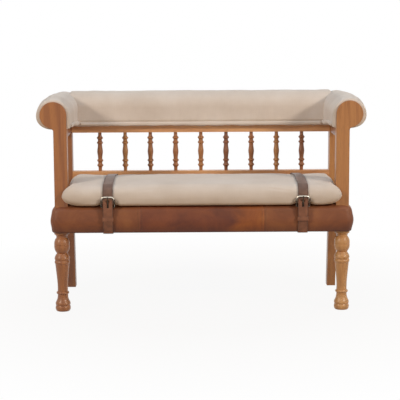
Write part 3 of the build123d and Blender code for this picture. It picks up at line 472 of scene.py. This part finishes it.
NODE_FINISH = {"front_post_left": post_wood["left"], "front_post_right": post_wood["right"],
               "front_leg_left": leg_wood["left"], "front_leg_right": leg_wood["right"],
               "rear_post_left": rear_wood["left"], "rear_post_right": rear_wood["right"],
               "lower_back_rail": rail_wood, "upper_back_rail": rail_wood,
               "arm_rail": arm_wood, "buckle_frame": buckle_metal, "buckle_prong": prong_metal,
               "strap_screws": screw_metal,
               "front_seat_rail": hidden_wood, "rear_seat_rail": hidden_wood, "side_seat_rail": hidden_wood,
               "seat_stretcher": hidden_wood, "seat_board": hidden_wood, "arm_roll_core": hidden_wood,
               "back_roll_core": hidden_wood, "deck_foam": padding, "arm_roll_foam": padding,
               "back_roll_foam": padding}
for label, item in nodes.items():
    found = [made for start, made in NODE_FINISH.items() if label.startswith(start)]
    if label.startswith("spindle_"):
        found = [spindle_woods[(int(label[-1]) * 2) % len(spindle_woods)]]
    if found:
        item.data.materials.clear()
        item.data.materials.append(found[0])


# Seat cushion

def seat_cushion():
    """Crowned section in Y and Z carried along X. It closes as a quarter of an oval, sqrt(1 - t^p), at each
    end: long and full at the front corners, which stand out ahead of the posts, short behind them. The
    front's lower edge droops over the rounded edge of the deck, except where the straps hold it."""
    corner_reach, corner_turn, seam_height = 30.0, 16.0, 33.0
    post_middle, post_reach, post_room = FRONT_POST_FRONT_Y + 23.0, 34.0, 5.0
    top_round, low_round, ear_top, ear_low = 24.0, 30.0, 40.0, 44.0
    corner_rise, droop_depth, strap_dent, most_move = 4.0, 9.0, 2.2, 4.5
    fine, end_share = 2000, 0.11
    share = np.linspace(0, 1, 165)[:-1]
    # points lie closer together at the front
    share = np.round((share - 0.07 * np.sin(math.tau * share)) * fine).astype(int) % fine
    loop = evenly(rounded(CUSHION_OUTLINE, CUSHION_RADII, closed=True), fine, closed=True)[share]
    turn_in = end_share * (1 - np.cos(np.linspace(0, math.pi / 2, 22)))
    run = np.linspace(end_share - 1, 1 - end_share, 96)
    s = np.concatenate([-1 + turn_in[:-1], run, 1 - turn_in[::-1][1:]])[:, None]
    middle = np.array([(CUSHION["front_y"] + CUSHION["rear_y"]) / 2, CUSHION["bottom_z"] + seam_height])
    half_depth = (CUSHION["rear_y"] - CUSHION["front_y"]) / 2
    corner = np.clip((corner_reach - (1 - np.abs(s)) * CUSHION["half_x"]) / corner_reach, 0, 1)
    turning = 1 - np.sqrt(1 - corner ** 2)
    y = middle[0] + (loop[:, 0] - middle[0]) * (1 - turning * corner_turn / half_depth)
    ears = 1 - smooth(-229.0, FRONT_POST_FRONT_Y - 1.0, y)
    beside = np.exp(-((y - post_middle) / post_reach) ** 4)
    half_x = CUSHION["half_x"] - post_room * beside
    half_x = half_x + (CUSHION["ear_x"] - half_x) * ears
    left_over = (1 - np.abs(s)) * half_x
    over = 1 - np.clip(1 - left_over / (top_round + ear_top * ears), 0, 1) ** 2.4
    under = 1 - np.clip(1 - left_over / (low_round + ear_low * ears), 0, 1) ** 2.0
    closing = np.sqrt(np.where(loop[:, 1] > middle[1], over, under))
    x = s * half_x
    # the filling is pushed up in the front corners
    full = corner_rise * smooth(-190.0, -224.0, y) * smooth(430.0, 486.0, np.abs(x))
    full = full * smooth(440.0, 464.0, loop[:, 1])
    z = middle[1] + (loop[:, 1] - middle[1] + full) * closing
    low_edge = 1 - smooth(CUSHION["bottom_z"] + 10, CUSHION["bottom_z"] + 52, z)
    droop = droop_depth * smooth(-205.0, -238.0, y) * low_edge
    strapped = sum(np.exp(-((x - place) / 34.0) ** 6) for place in STRAP_X.values())
    z = z - droop * (1 - strapped)
    points = np.stack([x, y, z], -1)
    normal = face_normals(points, True)
    normal *= np.sign((normal * (points - points.mean((0, 1)))).sum())
    above = smooth(CUSHION["bottom_z"] + 2, CUSHION["bottom_z"] + 14, z)
    press = sum(np.exp(-((x - place) / 24.0) ** 4) for place in STRAP_X.values())
    slack = ripples(points, 120.0, 3) * 1.4 + ripples(points, 46.0, 5) * 0.6
    # the cloth is drawn up in short waves on both sides of each strap
    drawn = sum(np.exp(-((np.abs(x - place) - 34.0) / 26.0) ** 2) for place in STRAP_X.values())
    gathers = drawn * ripples(points * [0.25, 1, 1], 30.0, 7) * 0.8
    # a little small, because the cloth run swells it, except at the sewn ends
    start = -2.4 + 4.0 * smooth(410.0, 470.0, np.abs(x))
    swell = above * (-strap_dent * press + (1 - press) * (start + slack + gathers))
    points = points + normal * (swell * closing)[..., None]
    made = piece("seat_cushion_cover", [grid(points, True)], cushion_linen,
                 stands_for=("seat_cushion",))

    def held(x, y, z):
        """True on the underside, beneath the straps, beside the posts and along the end seams."""
        pressed = np.min([np.abs(x - place) for place in STRAP_X.values()], axis=0) < 21.0
        seam = (np.abs(z - middle[1]) < 3.0) & (np.abs(x) > 470.0)
        posts = (np.abs(x) > 478.0) & (y > -224.0)
        return pressed | seam | posts | (z < CUSHION["bottom_z"] + 5.0)

    puffed(made, held, most_move)
    smoother = made.modifiers.new("Subdivision", "SUBSURF")
    smoother.levels = smoother.render_levels = 1
    return made


# Rolled arms and back

def teardrop(angle, reach, drop, tuck=0.0):
    """Radius of a roll that runs down to a flat lower edge: a circle above and on the outer side; on the
    inner side 1/r^p is the sum of (cos/reach)^p and (sin/drop)^p, a square corner softened by p. The cloth
    of the outer side is drawn in by tuck under the roll."""
    sharp = 16.0
    flat = (np.abs(np.cos(angle)) / reach) ** sharp + (np.abs(np.sin(angle)) / drop) ** sharp
    square = flat ** (-1 / sharp)
    low = np.arctan2(-np.sin(angle), np.cos(angle))    # 0 outwards, half a turn inwards, on the lower side
    outer = reach - tuck * smooth(math.radians(5), math.radians(85), low)
    joined = outer + (square - outer) * smooth(math.radians(84), math.radians(104), low)
    return np.where(low > 0, joined, reach)


def arm_rise(y):
    """Height of the arms' inner lower edge above its rear end: a smooth step up towards the front."""
    return ARM_RISE * (1 - smooth(-90.0, 120.0, y))


def arm_roll(name, side):
    """Radius over angle and depth: the teardrop section along Y, turned in over the scroll at the front as a
    quarter circle, and rounded off to a closed disc at the rear."""
    front_turn, rear_turn, tuck = 11.0, 26.0, 12.5
    angle = np.linspace(0, math.tau, 241)[:-1] + math.pi / 6
    full = teardrop(angle, ROLL["radius"], ROLL["drop"] - ARM_RISE, tuck)
    dx, dz = SCROLL["x"] - ROLL["x"], SCROLL["z"] - ROLL["z"]
    ray = dx * np.cos(angle) + dz * np.sin(angle)
    disc = ray + np.sqrt(SCROLL["radius"] ** 2 - dx ** 2 - dz ** 2 + ray ** 2)
    below = teardrop(angle, ROLL["x"] - 488.6, ROLL["drop"] - ARM_RISE - 0.5)
    inner = (np.sin(angle) < 0) & (np.cos(angle) < 0)
    opening = np.where(inner, np.maximum(below, disc), disc)
    swing = np.linspace(0, math.pi / 2, 9)
    run_y = np.linspace(ROLL["front_y"] + front_turn, ROLL["rear_y"] - rear_turn, 110)
    to_circle = smooth(150.0, 212.0, run_y)[:, None]
    run_r = teardrop(angle, ROLL["radius"], ROLL["drop"] - arm_rise(run_y)[:, None], tuck)
    run_r = run_r * (1 - to_circle) + ROLL["radius"] * to_circle
    # the filling swells behind the scroll, most on the upper outer side
    swell = smooth(run_y[0] - 10, -110.0, run_y) * (1 - smooth(20.0, 200.0, run_y))
    run_r = run_r + ROLL["swell"] * swell[:, None] * np.clip(np.cos(angle - math.radians(52)), 0, 1)
    end_y = ROLL["rear_y"] - rear_turn * (1 - np.sin(swing))
    end_r = ROLL["radius"] - rear_turn * (1 - np.cos(swing))
    cap_r = np.linspace(ROLL["radius"] - rear_turn, 0, 9)[1:]
    turned = np.linspace(0, math.pi / 2, 10)
    lead_y = ROLL["front_y"] + front_turn * (1 - np.sin(turned))
    lead_r = full + (opening - full) * (1 - np.cos(turned))[:, None]
    y = np.concatenate([lead_y[::-1][:-1], run_y, end_y[1:], np.full(len(cap_r), ROLL["rear_y"])])
    ring = np.ones_like(angle)
    r = np.vstack([lead_r[::-1][:-1], run_r, np.outer(end_r[1:], ring), np.outer(cap_r, ring)])
    x = side * (ROLL["x"] + r * np.cos(angle))
    z = ROLL["z"] + r * np.sin(angle)
    points = np.stack([x, np.repeat(y[:, None], len(angle), 1), z], -1)
    normal = face_normals(points, True)
    normal *= np.sign((normal * (points - points.mean((0, 1)))).sum())
    firm = smooth(ROLL["front_y"] + 4, ROLL["front_y"] + 40, points[..., 1]) * smooth(0, 40, r)
    slack = ripples(points, 90.0, 11 + side) * 0.9 + ripples(points, 38.0, 17 + side) * 0.35
    points = points + normal * (slack * firm)[..., None]
    return piece(f"arm_roll_{name}", [grid(points, True)], arm_linen,
                 stands_for=(f"arm_roll_cover_{name}", f"arm_roll_foam_{name}"))


def back_roll():
    """The same teardrop section carried along X, with softly rounded ends inside the arms."""
    end_turn = 14.0
    angle = np.linspace(0, math.tau, 241)[:-1] + math.pi / 6
    full = teardrop(angle, BACK["radius"], BACK["drop"])
    swing = np.linspace(0, math.pi / 2, 9)
    end_x = BACK["half_x"] - end_turn * (1 - np.sin(swing))
    end_r = 1 - end_turn / BACK["radius"] * (1 - np.cos(swing))
    run_x = np.linspace(-BACK["half_x"] + end_turn, BACK["half_x"] - end_turn, 240)
    x = np.concatenate([[-BACK["half_x"]], -end_x[::-1][:-1], run_x, end_x[1:], [BACK["half_x"]]])
    share = np.concatenate([[0], end_r[::-1][:-1], np.ones(len(run_x)), end_r[1:], [0]])
    r = np.outer(share, full)
    y = BACK["y"] + r * np.cos(angle)
    z = BACK["z"] + r * np.sin(angle)
    points = np.stack([np.repeat(x[:, None], len(angle), 1), y, z], -1)
    normal = face_normals(points, True)
    normal *= np.sign((normal * (points - points.mean((0, 1)))).sum())
    slack = ripples(points, 130.0, 23) * 1.0 + ripples(points, 44.0, 29) * 0.4
    # small tucks where the cloth is drawn down to the rail
    near_rail = np.exp(-((z - BACK["z"] + BACK["drop"]) / 26.0) ** 2)
    tuck = near_rail * ripples(points * [1, 0.2, 0.2], 34.0, 31) * 1.1
    # a crease along the upper edge of the folded band
    crease_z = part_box("back_welt")[1][2] / MM + 1.5
    crease = np.exp(-((z - crease_z) / 3.2) ** 2) * smooth(BACK["y"] - 20, BACK["y"] - 40, y) * 3.4
    calm = smooth(0.2, 0.9, share)[:, None]
    points = points + normal * ((slack + tuck - crease) * calm)[..., None]
    return piece("back_roll", [grid(points, True)], back_linen,
                 stands_for=("back_roll_cover", "back_roll_foam"))


def welt(name, start, end, inward, seed, material, rise=False):
    """Folded band from start to end: an oval section about 13 by 7 mm, its height and its line wandering a
    little."""
    start, end, inward = (np.array(v, float) for v in (start, end, inward))
    share = np.linspace(0, 1, 220)
    line = start + (end - start) * share[:, None]
    if rise:
        line[:, 2] += arm_rise(line[:, 1])
    sway = ripples(line, 90.0, seed)
    swell = 1 + 0.16 * ripples(line, 55.0, seed + 1)
    angle = np.linspace(0, math.tau, 25)[:-1]
    closing = np.sqrt(np.clip(1 - (np.clip(np.abs(share - 0.5) * 2 - 0.99, 0, 1) / 0.01) ** 2, 0, 1))
    half_height, half_depth = 6.3, 3.6
    height = half_height * swell * closing
    depth = half_depth * closing
    up = np.array([0, 0, 1.0])
    points = (line[:, None] + inward * (0.5 * sway)[:, None, None]
              + up * (0.9 * sway[:, None] + height[:, None] * np.sin(angle))[..., None]
              + inward * (depth[:, None] * np.sign(np.cos(angle)) * np.abs(np.cos(angle)) ** 0.7)[..., None])
    return piece(name, [grid(points, True)], material,
                 stands_for=(name.replace("fold", "welt"),))


# Leather deck

def deck_ring(half_x, half_y, radius, count):
    """Rounded rectangle as one ring: fixed shares of points on the long sides, the short sides and the
    corners."""
    long_side = np.linspace(-1, 1, count)
    short_side = np.linspace(-1, 1, count // 3)
    turn = np.linspace(0, math.pi / 2, 14)
    flat_x, flat_y = half_x - radius, half_y - radius
    ring = []
    for quarter, side in enumerate((long_side, short_side, long_side, short_side)):
        c, s = [(1, 0), (0, 1), (-1, 0), (0, -1)][quarter]
        run = flat_x if quarter % 2 == 0 else flat_y
        off = half_y if quarter % 2 == 0 else half_x
        across = flat_y if quarter % 2 == 0 else flat_x
        edge = np.stack([side * run, np.full(len(side), -off)], -1)
        arc = np.stack([run + radius * np.sin(turn), -across - radius * np.cos(turn)], -1)[1:-1]
        ring.append(np.vstack([edge, arc]) @ np.array([[c, s], [-s, c]]))
    return np.vstack(ring)


def leather_deck():
    """Edge outline carried round the plan: each level is the plan's rounded rectangle drawn in by the
    outline's inset. The front and sides swell; the rear is straighter. Grooves lie at the panel seams."""
    steps, ring_points = 90, 390
    # both outlines start on the underside and end in the middle of the top
    start, end = (88, 0), (226, 103.5)
    swell = rounded([start, *DECK_EDGE, end], [4, *DECK_BENDS, 60])
    straight = rounded([start, (0, 0), (0, 52), (0.5, 103.5), end], [4, 200, 14])
    swell, straight = evenly(swell, steps), evenly(straight, steps)
    half_x = DECK["half_x"]
    half_y = (DECK["rear_y"] - DECK["front_y"]) / 2
    centre_y = (DECK["rear_y"] + DECK["front_y"]) / 2
    rows = []
    for (inset_a, z_a), (inset_b, z_b) in zip(swell, straight):
        ring_a = deck_ring(half_x - inset_a, half_y - inset_a, max(32 - inset_a * 0.6, 3), ring_points)
        ring_b = deck_ring(half_x - inset_b, half_y - inset_b, max(32 - inset_b * 0.6, 3), ring_points)
        rear = smooth(half_y * 0.6, half_y - 4, ring_a[:, 1])[:, None]
        plan = ring_a * (1 - rear) + ring_b * rear
        height = z_a * (1 - rear) + z_b * rear
        rows.append(np.hstack([plan[:, :1], plan[:, 1:] + centre_y, height + DECK["bottom_z"]]))
    points = np.array(rows)
    normal = face_normals(points, True)
    normal *= np.sign((normal * (points - points.mean((0, 1)))).sum())
    x, y, z = np.moveaxis(points, -1, 0)
    seam = np.exp(-((np.abs(x) - SEAM_X) / 2.4) ** 2) * 1.3
    lips = np.exp(-((np.abs(np.abs(x) - SEAM_X) - 7.0) / 4.0) ** 2) * 0.5
    dents = ripples(points, 130.0, 41) * 0.9 + ripples(points, 42.0, 43) * 0.35
    # short puckers where the hide is pulled under the seat
    low = np.exp(-((z - DECK["bottom_z"]) / 16.0) ** 2)
    puckers = low * ripples(points * [1, 1, 0.15], 24.0, 47) * 0.8
    on_top = smooth(DECK["top_z"] - 6, DECK["top_z"] - 1, z)
    side_faces = smooth(DECK["bottom_z"] + 1, DECK["bottom_z"] + 6, z) * (1 - on_top * 0.7)
    press = sum(np.exp(-((x - place) / 23.0) ** 4) for place in STRAP_X.values())
    lift = side_faces * ((lips - seam) + (dents + puckers - 0.6) * (1 - press) - 0.9 * press)
    points = points + normal * lift[..., None]
    return piece("leather_deck", [grid(points, True)], deck_leather,
                 stands_for=("leather_deck_cover", "deck_foam"))


def deck_stitches():
    """Two rows of thread beside each panel seam: short ovals, half length 2.2 and half width 0.55 mm, set
    every 6.5 mm along the front edge outline of the deck."""
    half_length, half_width, step, beside = 2.2, 0.55, 6.5, 7.0
    outline = rounded(DECK_EDGE, DECK_BENDS)
    length = np.linalg.norm(np.diff(outline, axis=0), axis=1).sum()
    places = evenly(outline, int(length / step))
    ahead = np.gradient(places, axis=0)
    ahead /= np.linalg.norm(ahead, axis=1)[:, None]
    inset, height = places[1:-1].T
    along = ahead[1:-1]
    u = np.linspace(0, math.pi, 7)[:, None]
    v = np.linspace(0, math.tau, 9)[None, :-1]
    lengthwise = half_length * np.cos(u) * np.ones_like(v)
    sideways, outwards = half_width * np.sin(u) * np.cos(v), half_width * np.sin(u) * np.sin(v)
    grids = []
    for row_x in (side * SEAM_X + gap for side in SIDES.values() for gap in (-beside, beside)):
        for (run_y, run_z), y, z in zip(along, DECK["front_y"] + inset, DECK["bottom_z"] + height):
            grids.append(grid(np.stack([row_x + sideways, y + lengthwise * run_y - outwards * run_z,
                                        z + lengthwise * run_z + outwards * run_y], -1), True))
    piece("deck_stitches", grids, thread)


# Straps

def strap_section():
    """Half a strap's width and thickness as a closed outline with rounded edges and a shallow crease line."""
    half, thick, crease = STRAP_WIDTH / 2, STRAP_THICKNESS / 2, 3.6
    line = half - crease
    across = np.array([0, PRONG_SLOT / 2, 11, line - 0.9, line, line + 0.9, half - 1.1, half - 0.3, half])
    over = np.array([thick, thick, thick, thick, thick - 0.45, thick, thick - 0.05, thick - 0.6, 0])
    top = np.vstack([np.stack([-across[::-1], over[::-1]], -1), np.stack([across, over], -1)[1:]])
    under = np.stack([top[::-1][1:-1, 0], -np.minimum(top[::-1][1:-1, 1], thick)], -1)
    return np.vstack([top, under])


def slotted(made, rows, columns):
    """A strap's grid with the prong's slot cut through it over the given rows: the two faces between the
    columns beside the middle go, on both sides of the leather, and walls close the slot's sides and ends."""
    vertices, quads, places = made
    first, last = rows[0], rows[-1]
    a, b, c, d, e, f = 7, 8, 9, 23, 24, 25    # columns across the slot: front, then back
    step, across = np.divmod(np.arange(len(quads)), columns)
    cut = (step >= first) & (step < last) & np.isin(across, (a, b, d, e))
    at = np.arange(first, last) * (columns + 1)
    after = at + columns + 1
    sides = [np.stack([at + p, after + p, after + q, at + q], -1) for p, q in ((a, f), (c, d))]
    ends = np.array([[row * (columns + 1) + k for k in four] for row in (first, last)
                     for four in ((a, b, e, f), (b, c, d, e))])
    quads = np.vstack([quads[~cut], *sides, ends])
    used = np.unique(quads)
    return vertices[used], np.searchsorted(used, quads), places[used]


def strap(name, x, points, radii, tip, material, node, slot_z):
    """Section carried along a route of runs and bends in Y and Z, its ends closed and its tip rounded in
    plan."""
    route = evenly(rounded(points, radii), 420)
    ahead = np.gradient(route, axis=0)
    ahead /= np.linalg.norm(ahead, axis=1)[:, None]
    out = np.stack([ahead[:, 1], -ahead[:, 0]], -1)
    reach = np.concatenate([[0], np.cumsum(np.linalg.norm(np.diff(route, axis=0), axis=1))])
    left_over = reach[-1] - reach
    width = np.ones(len(route))
    if tip:
        width = np.sqrt(np.clip(1 - np.clip((tip - left_over) / tip, 0, 1) ** 2, 0.05, 1))
    section = strap_section()
    thick = np.ones(len(route))
    thick[[0, -1]] = 0
    away = section[:, 1] * thick[:, None]
    px = x + section[:, 0] * width[:, None]
    py = route[:, :1] + out[:, :1] * away
    pz = route[:, 1:] + out[:, 1:] * away
    uv = np.stack([np.repeat(reach[:, None], len(section), 1),
                   np.repeat(section[None, :, 0], len(route), 0)], -1)
    rows = np.flatnonzero((route[:, 0] < 0) & (route[:, 1] > slot_z[0]) & (route[:, 1] < slot_z[1]))
    made = slotted(grid(np.stack([px, py, pz], -1), True, uv), rows, len(section))
    return piece(name, [made], material, stands_for=(node,))


def straps(name, x):
    """Upper strap from under the rear of the deck over the cushion to its tail, and lower strap with its
    buckle fold, on the same routes as the solids."""
    lift, fold_run, under_run, bow_lift = 1.8, 22, 52, 3.6
    slot_below, slot_above = 2, 26
    under_z = DECK["bottom_z"] - lift
    heel_y, heel_z, fold, strap_y, layer = -242.907, 392.0, 4.3, -250.507, 3.3
    bow = (DECK["front_y"] - bow_lift, DECK["bottom_z"] + DECK_EDGE[1][1])
    toe = (DECK["front_y"] + DECK_EDGE[0][0] - lift, under_z)
    lower = [(heel_y + fold, heel_z - fold_run), (heel_y + fold, heel_z + fold),
             (heel_y - fold, heel_z + fold), (heel_y - fold, heel_z - fold), bow, toe,
             (toe[0] + under_run, under_z)]
    over = outset(CUSHION_OUTLINE, lift)
    tail_z = DECK["bottom_z"] + {"left": 8.0, "right": 56.0}[name]
    tail, tail_radii = [(bow[0] - layer, tail_z)], [60]
    if tail_z < bow[1]:
        lean = (toe[0] - bow[0]) / (toe[1] - bow[1])
        tail = [(bow[0] - layer, bow[1]), (bow[0] - layer + lean * (tail_z - bow[1]), tail_z)]
        tail_radii = [60, 60]
    upper = [(DECK["rear_y"] + lift - under_run, under_z), (DECK["rear_y"] + lift, under_z),
             (DECK["rear_y"] + lift, DECK["top_z"] + lift), (CUSHION["rear_y"] + lift, DECK["top_z"] + lift),
             *over[2:], (strap_y, heel_z - fold), *tail]
    radii = [5.8, 15.8, 8, *(r + lift for r in CUSHION_RADII[2:]), *tail_radii]
    strap(f"strap_over_{name}", x, upper, radii, 9.0, upper_leather, f"upper_strap_{name}",
          (heel_z - slot_below, heel_z + slot_above))
    strap(f"strap_under_{name}", x, lower, [fold, fold, 60, 60, 5.8], 0, lower_leather, f"lower_strap_{name}",
          (heel_z - 2 * fold, heel_z + 2 * fold))


def keeper(name, x):
    """Flat loop round both straps: a band section carried round a rounded rectangle."""
    low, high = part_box(f"strap_keeper_{name}")
    low, high = np.array(low) / MM, np.array(high) / MM
    wall = 0.75
    corners = [(low[0] + wall, low[1] + wall), (high[0] - wall, low[1] + wall),
               (high[0] - wall, high[1] - wall), (low[0] + wall, high[1] - wall)]
    loop = evenly(rounded(corners, [1.6] * 4, closed=True), 120, closed=True)
    ahead = np.roll(loop, -1, 0) - np.roll(loop, 1, 0)
    out = np.stack([ahead[:, 1], -ahead[:, 0]], -1) / np.linalg.norm(ahead, axis=1)[:, None]
    half = (high[2] - low[2]) / 2
    section = np.array([(-half, 0), (-half + 0.3, wall * 0.7), (-half + 1.2, wall), (half - 1.2, wall),
                        (half - 0.3, wall * 0.7), (half, 0), (half - 0.8, -wall), (-half + 0.8, -wall)])
    plan = loop[None] + out[None] * section[:, None, 1:]
    height = np.repeat(section[:, :1] + (low[2] + high[2]) / 2, len(loop), 1)
    ring = np.concatenate([plan, height[..., None]], -1)
    ring = np.concatenate([ring, ring[:1]])
    uv = np.zeros(ring.shape[:2] + (2,))
    piece(f"keeper_loop_{name}", [grid(ring, True, uv)], lower_leather,
          stands_for=(f"strap_keeper_{name}",))


for name, side in SIDES.items():
    arm = arm_roll(name, side)
    straps(name, STRAP_X[name])
    keeper(name, STRAP_X[name])
    low, high = (np.array(v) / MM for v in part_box(f"arm_welt_{name}"))
    middle = (low + high) / 2
    welt(f"arm_fold_{name}", (middle[0], low[1], middle[2]), (middle[0], high[1], middle[2]), (-side, 0, 0),
         61 + side, arm_linen, rise=True)
back_roll()
low, high = (np.array(v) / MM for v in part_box("back_welt"))
middle = (low + high) / 2
welt("back_fold", (low[0], middle[1], middle[2]), (high[0], middle[1], middle[2]), (0, -1, 0), 71, back_linen)
leather_deck()
deck_stitches()
seat_cushion()


# Dust cover

def dust_sheet():
    """Stretched sheet over the box of its solid, z = -deepest (1 - u^2)(1 - v^2): a slight sag in the
    middle."""
    deepest = 2.5
    low, high = (np.array(v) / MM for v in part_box("dust_cover"))
    u, v = np.meshgrid(np.linspace(-1, 1, 60), np.linspace(-1, 1, 30), indexing="ij")
    sag = deepest * (1 - u ** 2) * (1 - v ** 2)
    points = np.stack([(low[0] + high[0]) / 2 + u * (high[0] - low[0]) / 2,
                       (low[1] + high[1]) / 2 + v * (high[1] - low[1]) / 2, low[2] - sag], -1)
    made = piece("dust_sheet", [grid(points)], dust_cloth, stands_for=("dust_cover",))


dust_sheet()


# Stage, light and camera

def seen_directly(tree):
    """1 for rays from the camera, a mirror-like surface or glass, 0 for rays that carry light: the largest of
    the three."""
    rays = add(tree, "ShaderNodeLightPath").outputs
    seen = add(tree, "ShaderNodeMath", {0: rays["Is Camera Ray"], 1: rays["Is Glossy Ray"]},
               operation="MAXIMUM").outputs[0]
    return add(tree, "ShaderNodeMath", {0: seen, 1: rays["Is Transmission Ray"]},
               operation="MAXIMUM").outputs[0]


def studio():
    """A pale floor, a white world for what the camera sees, and four lamps: warm at both sides, cool above
    and behind. The floor lights the object from below as bare boards do."""
    half, ambient = 9, 0.33
    mesh = bpy.data.meshes.new("floor")
    corners = [(-half, -half, 0), (half, -half, 0), (half, half, 0), (-half, half, 0)]
    mesh.from_pydata(corners, [], [(0, 1, 2, 3)])
    floor = bpy.data.objects.new("floor", mesh)
    bpy.context.scene.collection.objects.link(floor)
    made = bpy.data.materials.new("pale_floor")
    made.use_nodes = True
    tree = made.node_tree
    tree.nodes.clear()
    seen = seen_directly(tree)
    spot = add(tree, "ShaderNodeTexCoord").outputs["Object"]
    away = add(tree, "ShaderNodeVectorMath", {0: spot}, operation="LENGTH").outputs["Value"]
    fade = add(tree, "ShaderNodeMapRange", {"Value": away, "From Min": 0.5, "From Max": 1.5,
                                            "To Min": 0.93, "To Max": 1.0}).outputs[0]
    share = add(tree, "ShaderNodeMath", {0: seen, 1: fade}, operation="MULTIPLY").outputs[0]
    matt = add(tree, "ShaderNodeBsdfDiffuse", {"Color": srgb("#A88A66")}).outputs[0]
    glow = add(tree, "ShaderNodeEmission", {"Color": (1, 1, 1, 1), "Strength": 1.0}).outputs[0]
    both = add(tree, "ShaderNodeMixShader", {0: share, 1: matt, 2: glow}).outputs[0]
    add(tree, "ShaderNodeOutputMaterial", {"Surface": both})
    mesh.materials.append(made)

    world = bpy.data.worlds.new("studio")
    bpy.context.scene.world = world
    world.use_nodes = True
    tree = world.node_tree
    tree.nodes.clear()
    seen = seen_directly(tree)
    level = add(tree, "ShaderNodeMapRange", {"Value": seen, "To Min": ambient, "To Max": 1.0}).outputs[0]
    way = add(tree, "ShaderNodeTexCoord").outputs["Generated"]
    rise = add(tree, "ShaderNodeSeparateXYZ", {0: way}).outputs[2]
    zenith = add(tree, "ShaderNodeMapRange", {"Value": rise, "From Min": 0.15, "From Max": 0.75}).outputs[0]
    tint = add(tree, "ShaderNodeMix", {0: zenith, 6: (1.0, 0.9, 0.78, 1), 7: (0.74, 0.87, 1.0, 1)},
               data_type="RGBA").outputs[2]
    white = add(tree, "ShaderNodeMix", {0: seen, 6: tint, 7: (1, 1, 1, 1)}, data_type="RGBA").outputs[2]
    sky = add(tree, "ShaderNodeBackground", {"Color": white, "Strength": level}).outputs[0]
    add(tree, "ShaderNodeOutputWorld", {"Surface": sky})

    warm, cool, sky_blue = (1.0, 0.9, 0.77), (0.92, 0.97, 1.0), (0.72, 0.86, 1.0)
    # place in metres, power in watts, size in metres, colour: the side lamps throw the arms' shadows
    lamps = {"key_right": ((3.4, -2.9, 2.6), 90.0, 0.6, warm),
             "fill_left": ((-3.4, -2.9, 2.6), 76.0, 0.6, warm),
             "top": ((0.0, -0.6, 3.4), 19.0, 2.4, sky_blue),
             "rear": ((0.0, 3.2, 2.6), 16.0, 2.4, cool)}
    aim = np.array([0, 0, 0.45])
    for label, (place, power, size, colour) in lamps.items():
        lamp = bpy.data.lights.new(label, "AREA")
        lamp.energy = power
        lamp.size = size
        lamp.color = colour
        holder = bpy.data.objects.new(label, lamp)
        back = np.array(place) - aim
        back /= np.linalg.norm(back)
        right = np.cross([0, 0, 1.0], back)
        right /= np.linalg.norm(right)
        turn = np.eye(4)
        turn[:3, :3] = np.stack([right, np.cross(back, right), back], -1)
        turn[:3, 3] = place
        holder.matrix_world = Matrix(turn.tolist())
        bpy.context.scene.collection.objects.link(holder)


def camera():
    """Pinhole at the photograph's place: yaw, pitch and roll turn it from looking along +Y."""
    sensor_mm, focal_px, picture_px = 36.0, 1317.8, 400
    yaw, pitch, roll = (math.radians(v) for v in (0.39, 8.445, 0.292))
    ahead = np.array([math.sin(yaw) * math.cos(pitch), math.cos(yaw) * math.cos(pitch), -math.sin(pitch)])
    right = np.array([math.cos(yaw), -math.sin(yaw), 0.0])
    down = np.cross(ahead, right)
    level = math.cos(roll) * right + math.sin(roll) * down
    lower = -math.sin(roll) * right + math.cos(roll) * down
    turn = np.eye(4)
    turn[:3, :3] = np.stack([level, -lower, -ahead], -1)
    turn[:3, 3] = (-0.0393, -4.9768, 1.1204)
    lens = bpy.data.cameras.new("camera")
    lens.sensor_width = sensor_mm
    lens.lens = sensor_mm * focal_px / picture_px
    holder = bpy.data.objects.new("camera", lens)
    holder.matrix_world = Matrix(turn.tolist())
    bpy.context.scene.collection.objects.link(holder)
    bpy.context.scene.camera = holder


studio()
camera()
bpy.context.scene.view_settings.view_transform = "Standard"
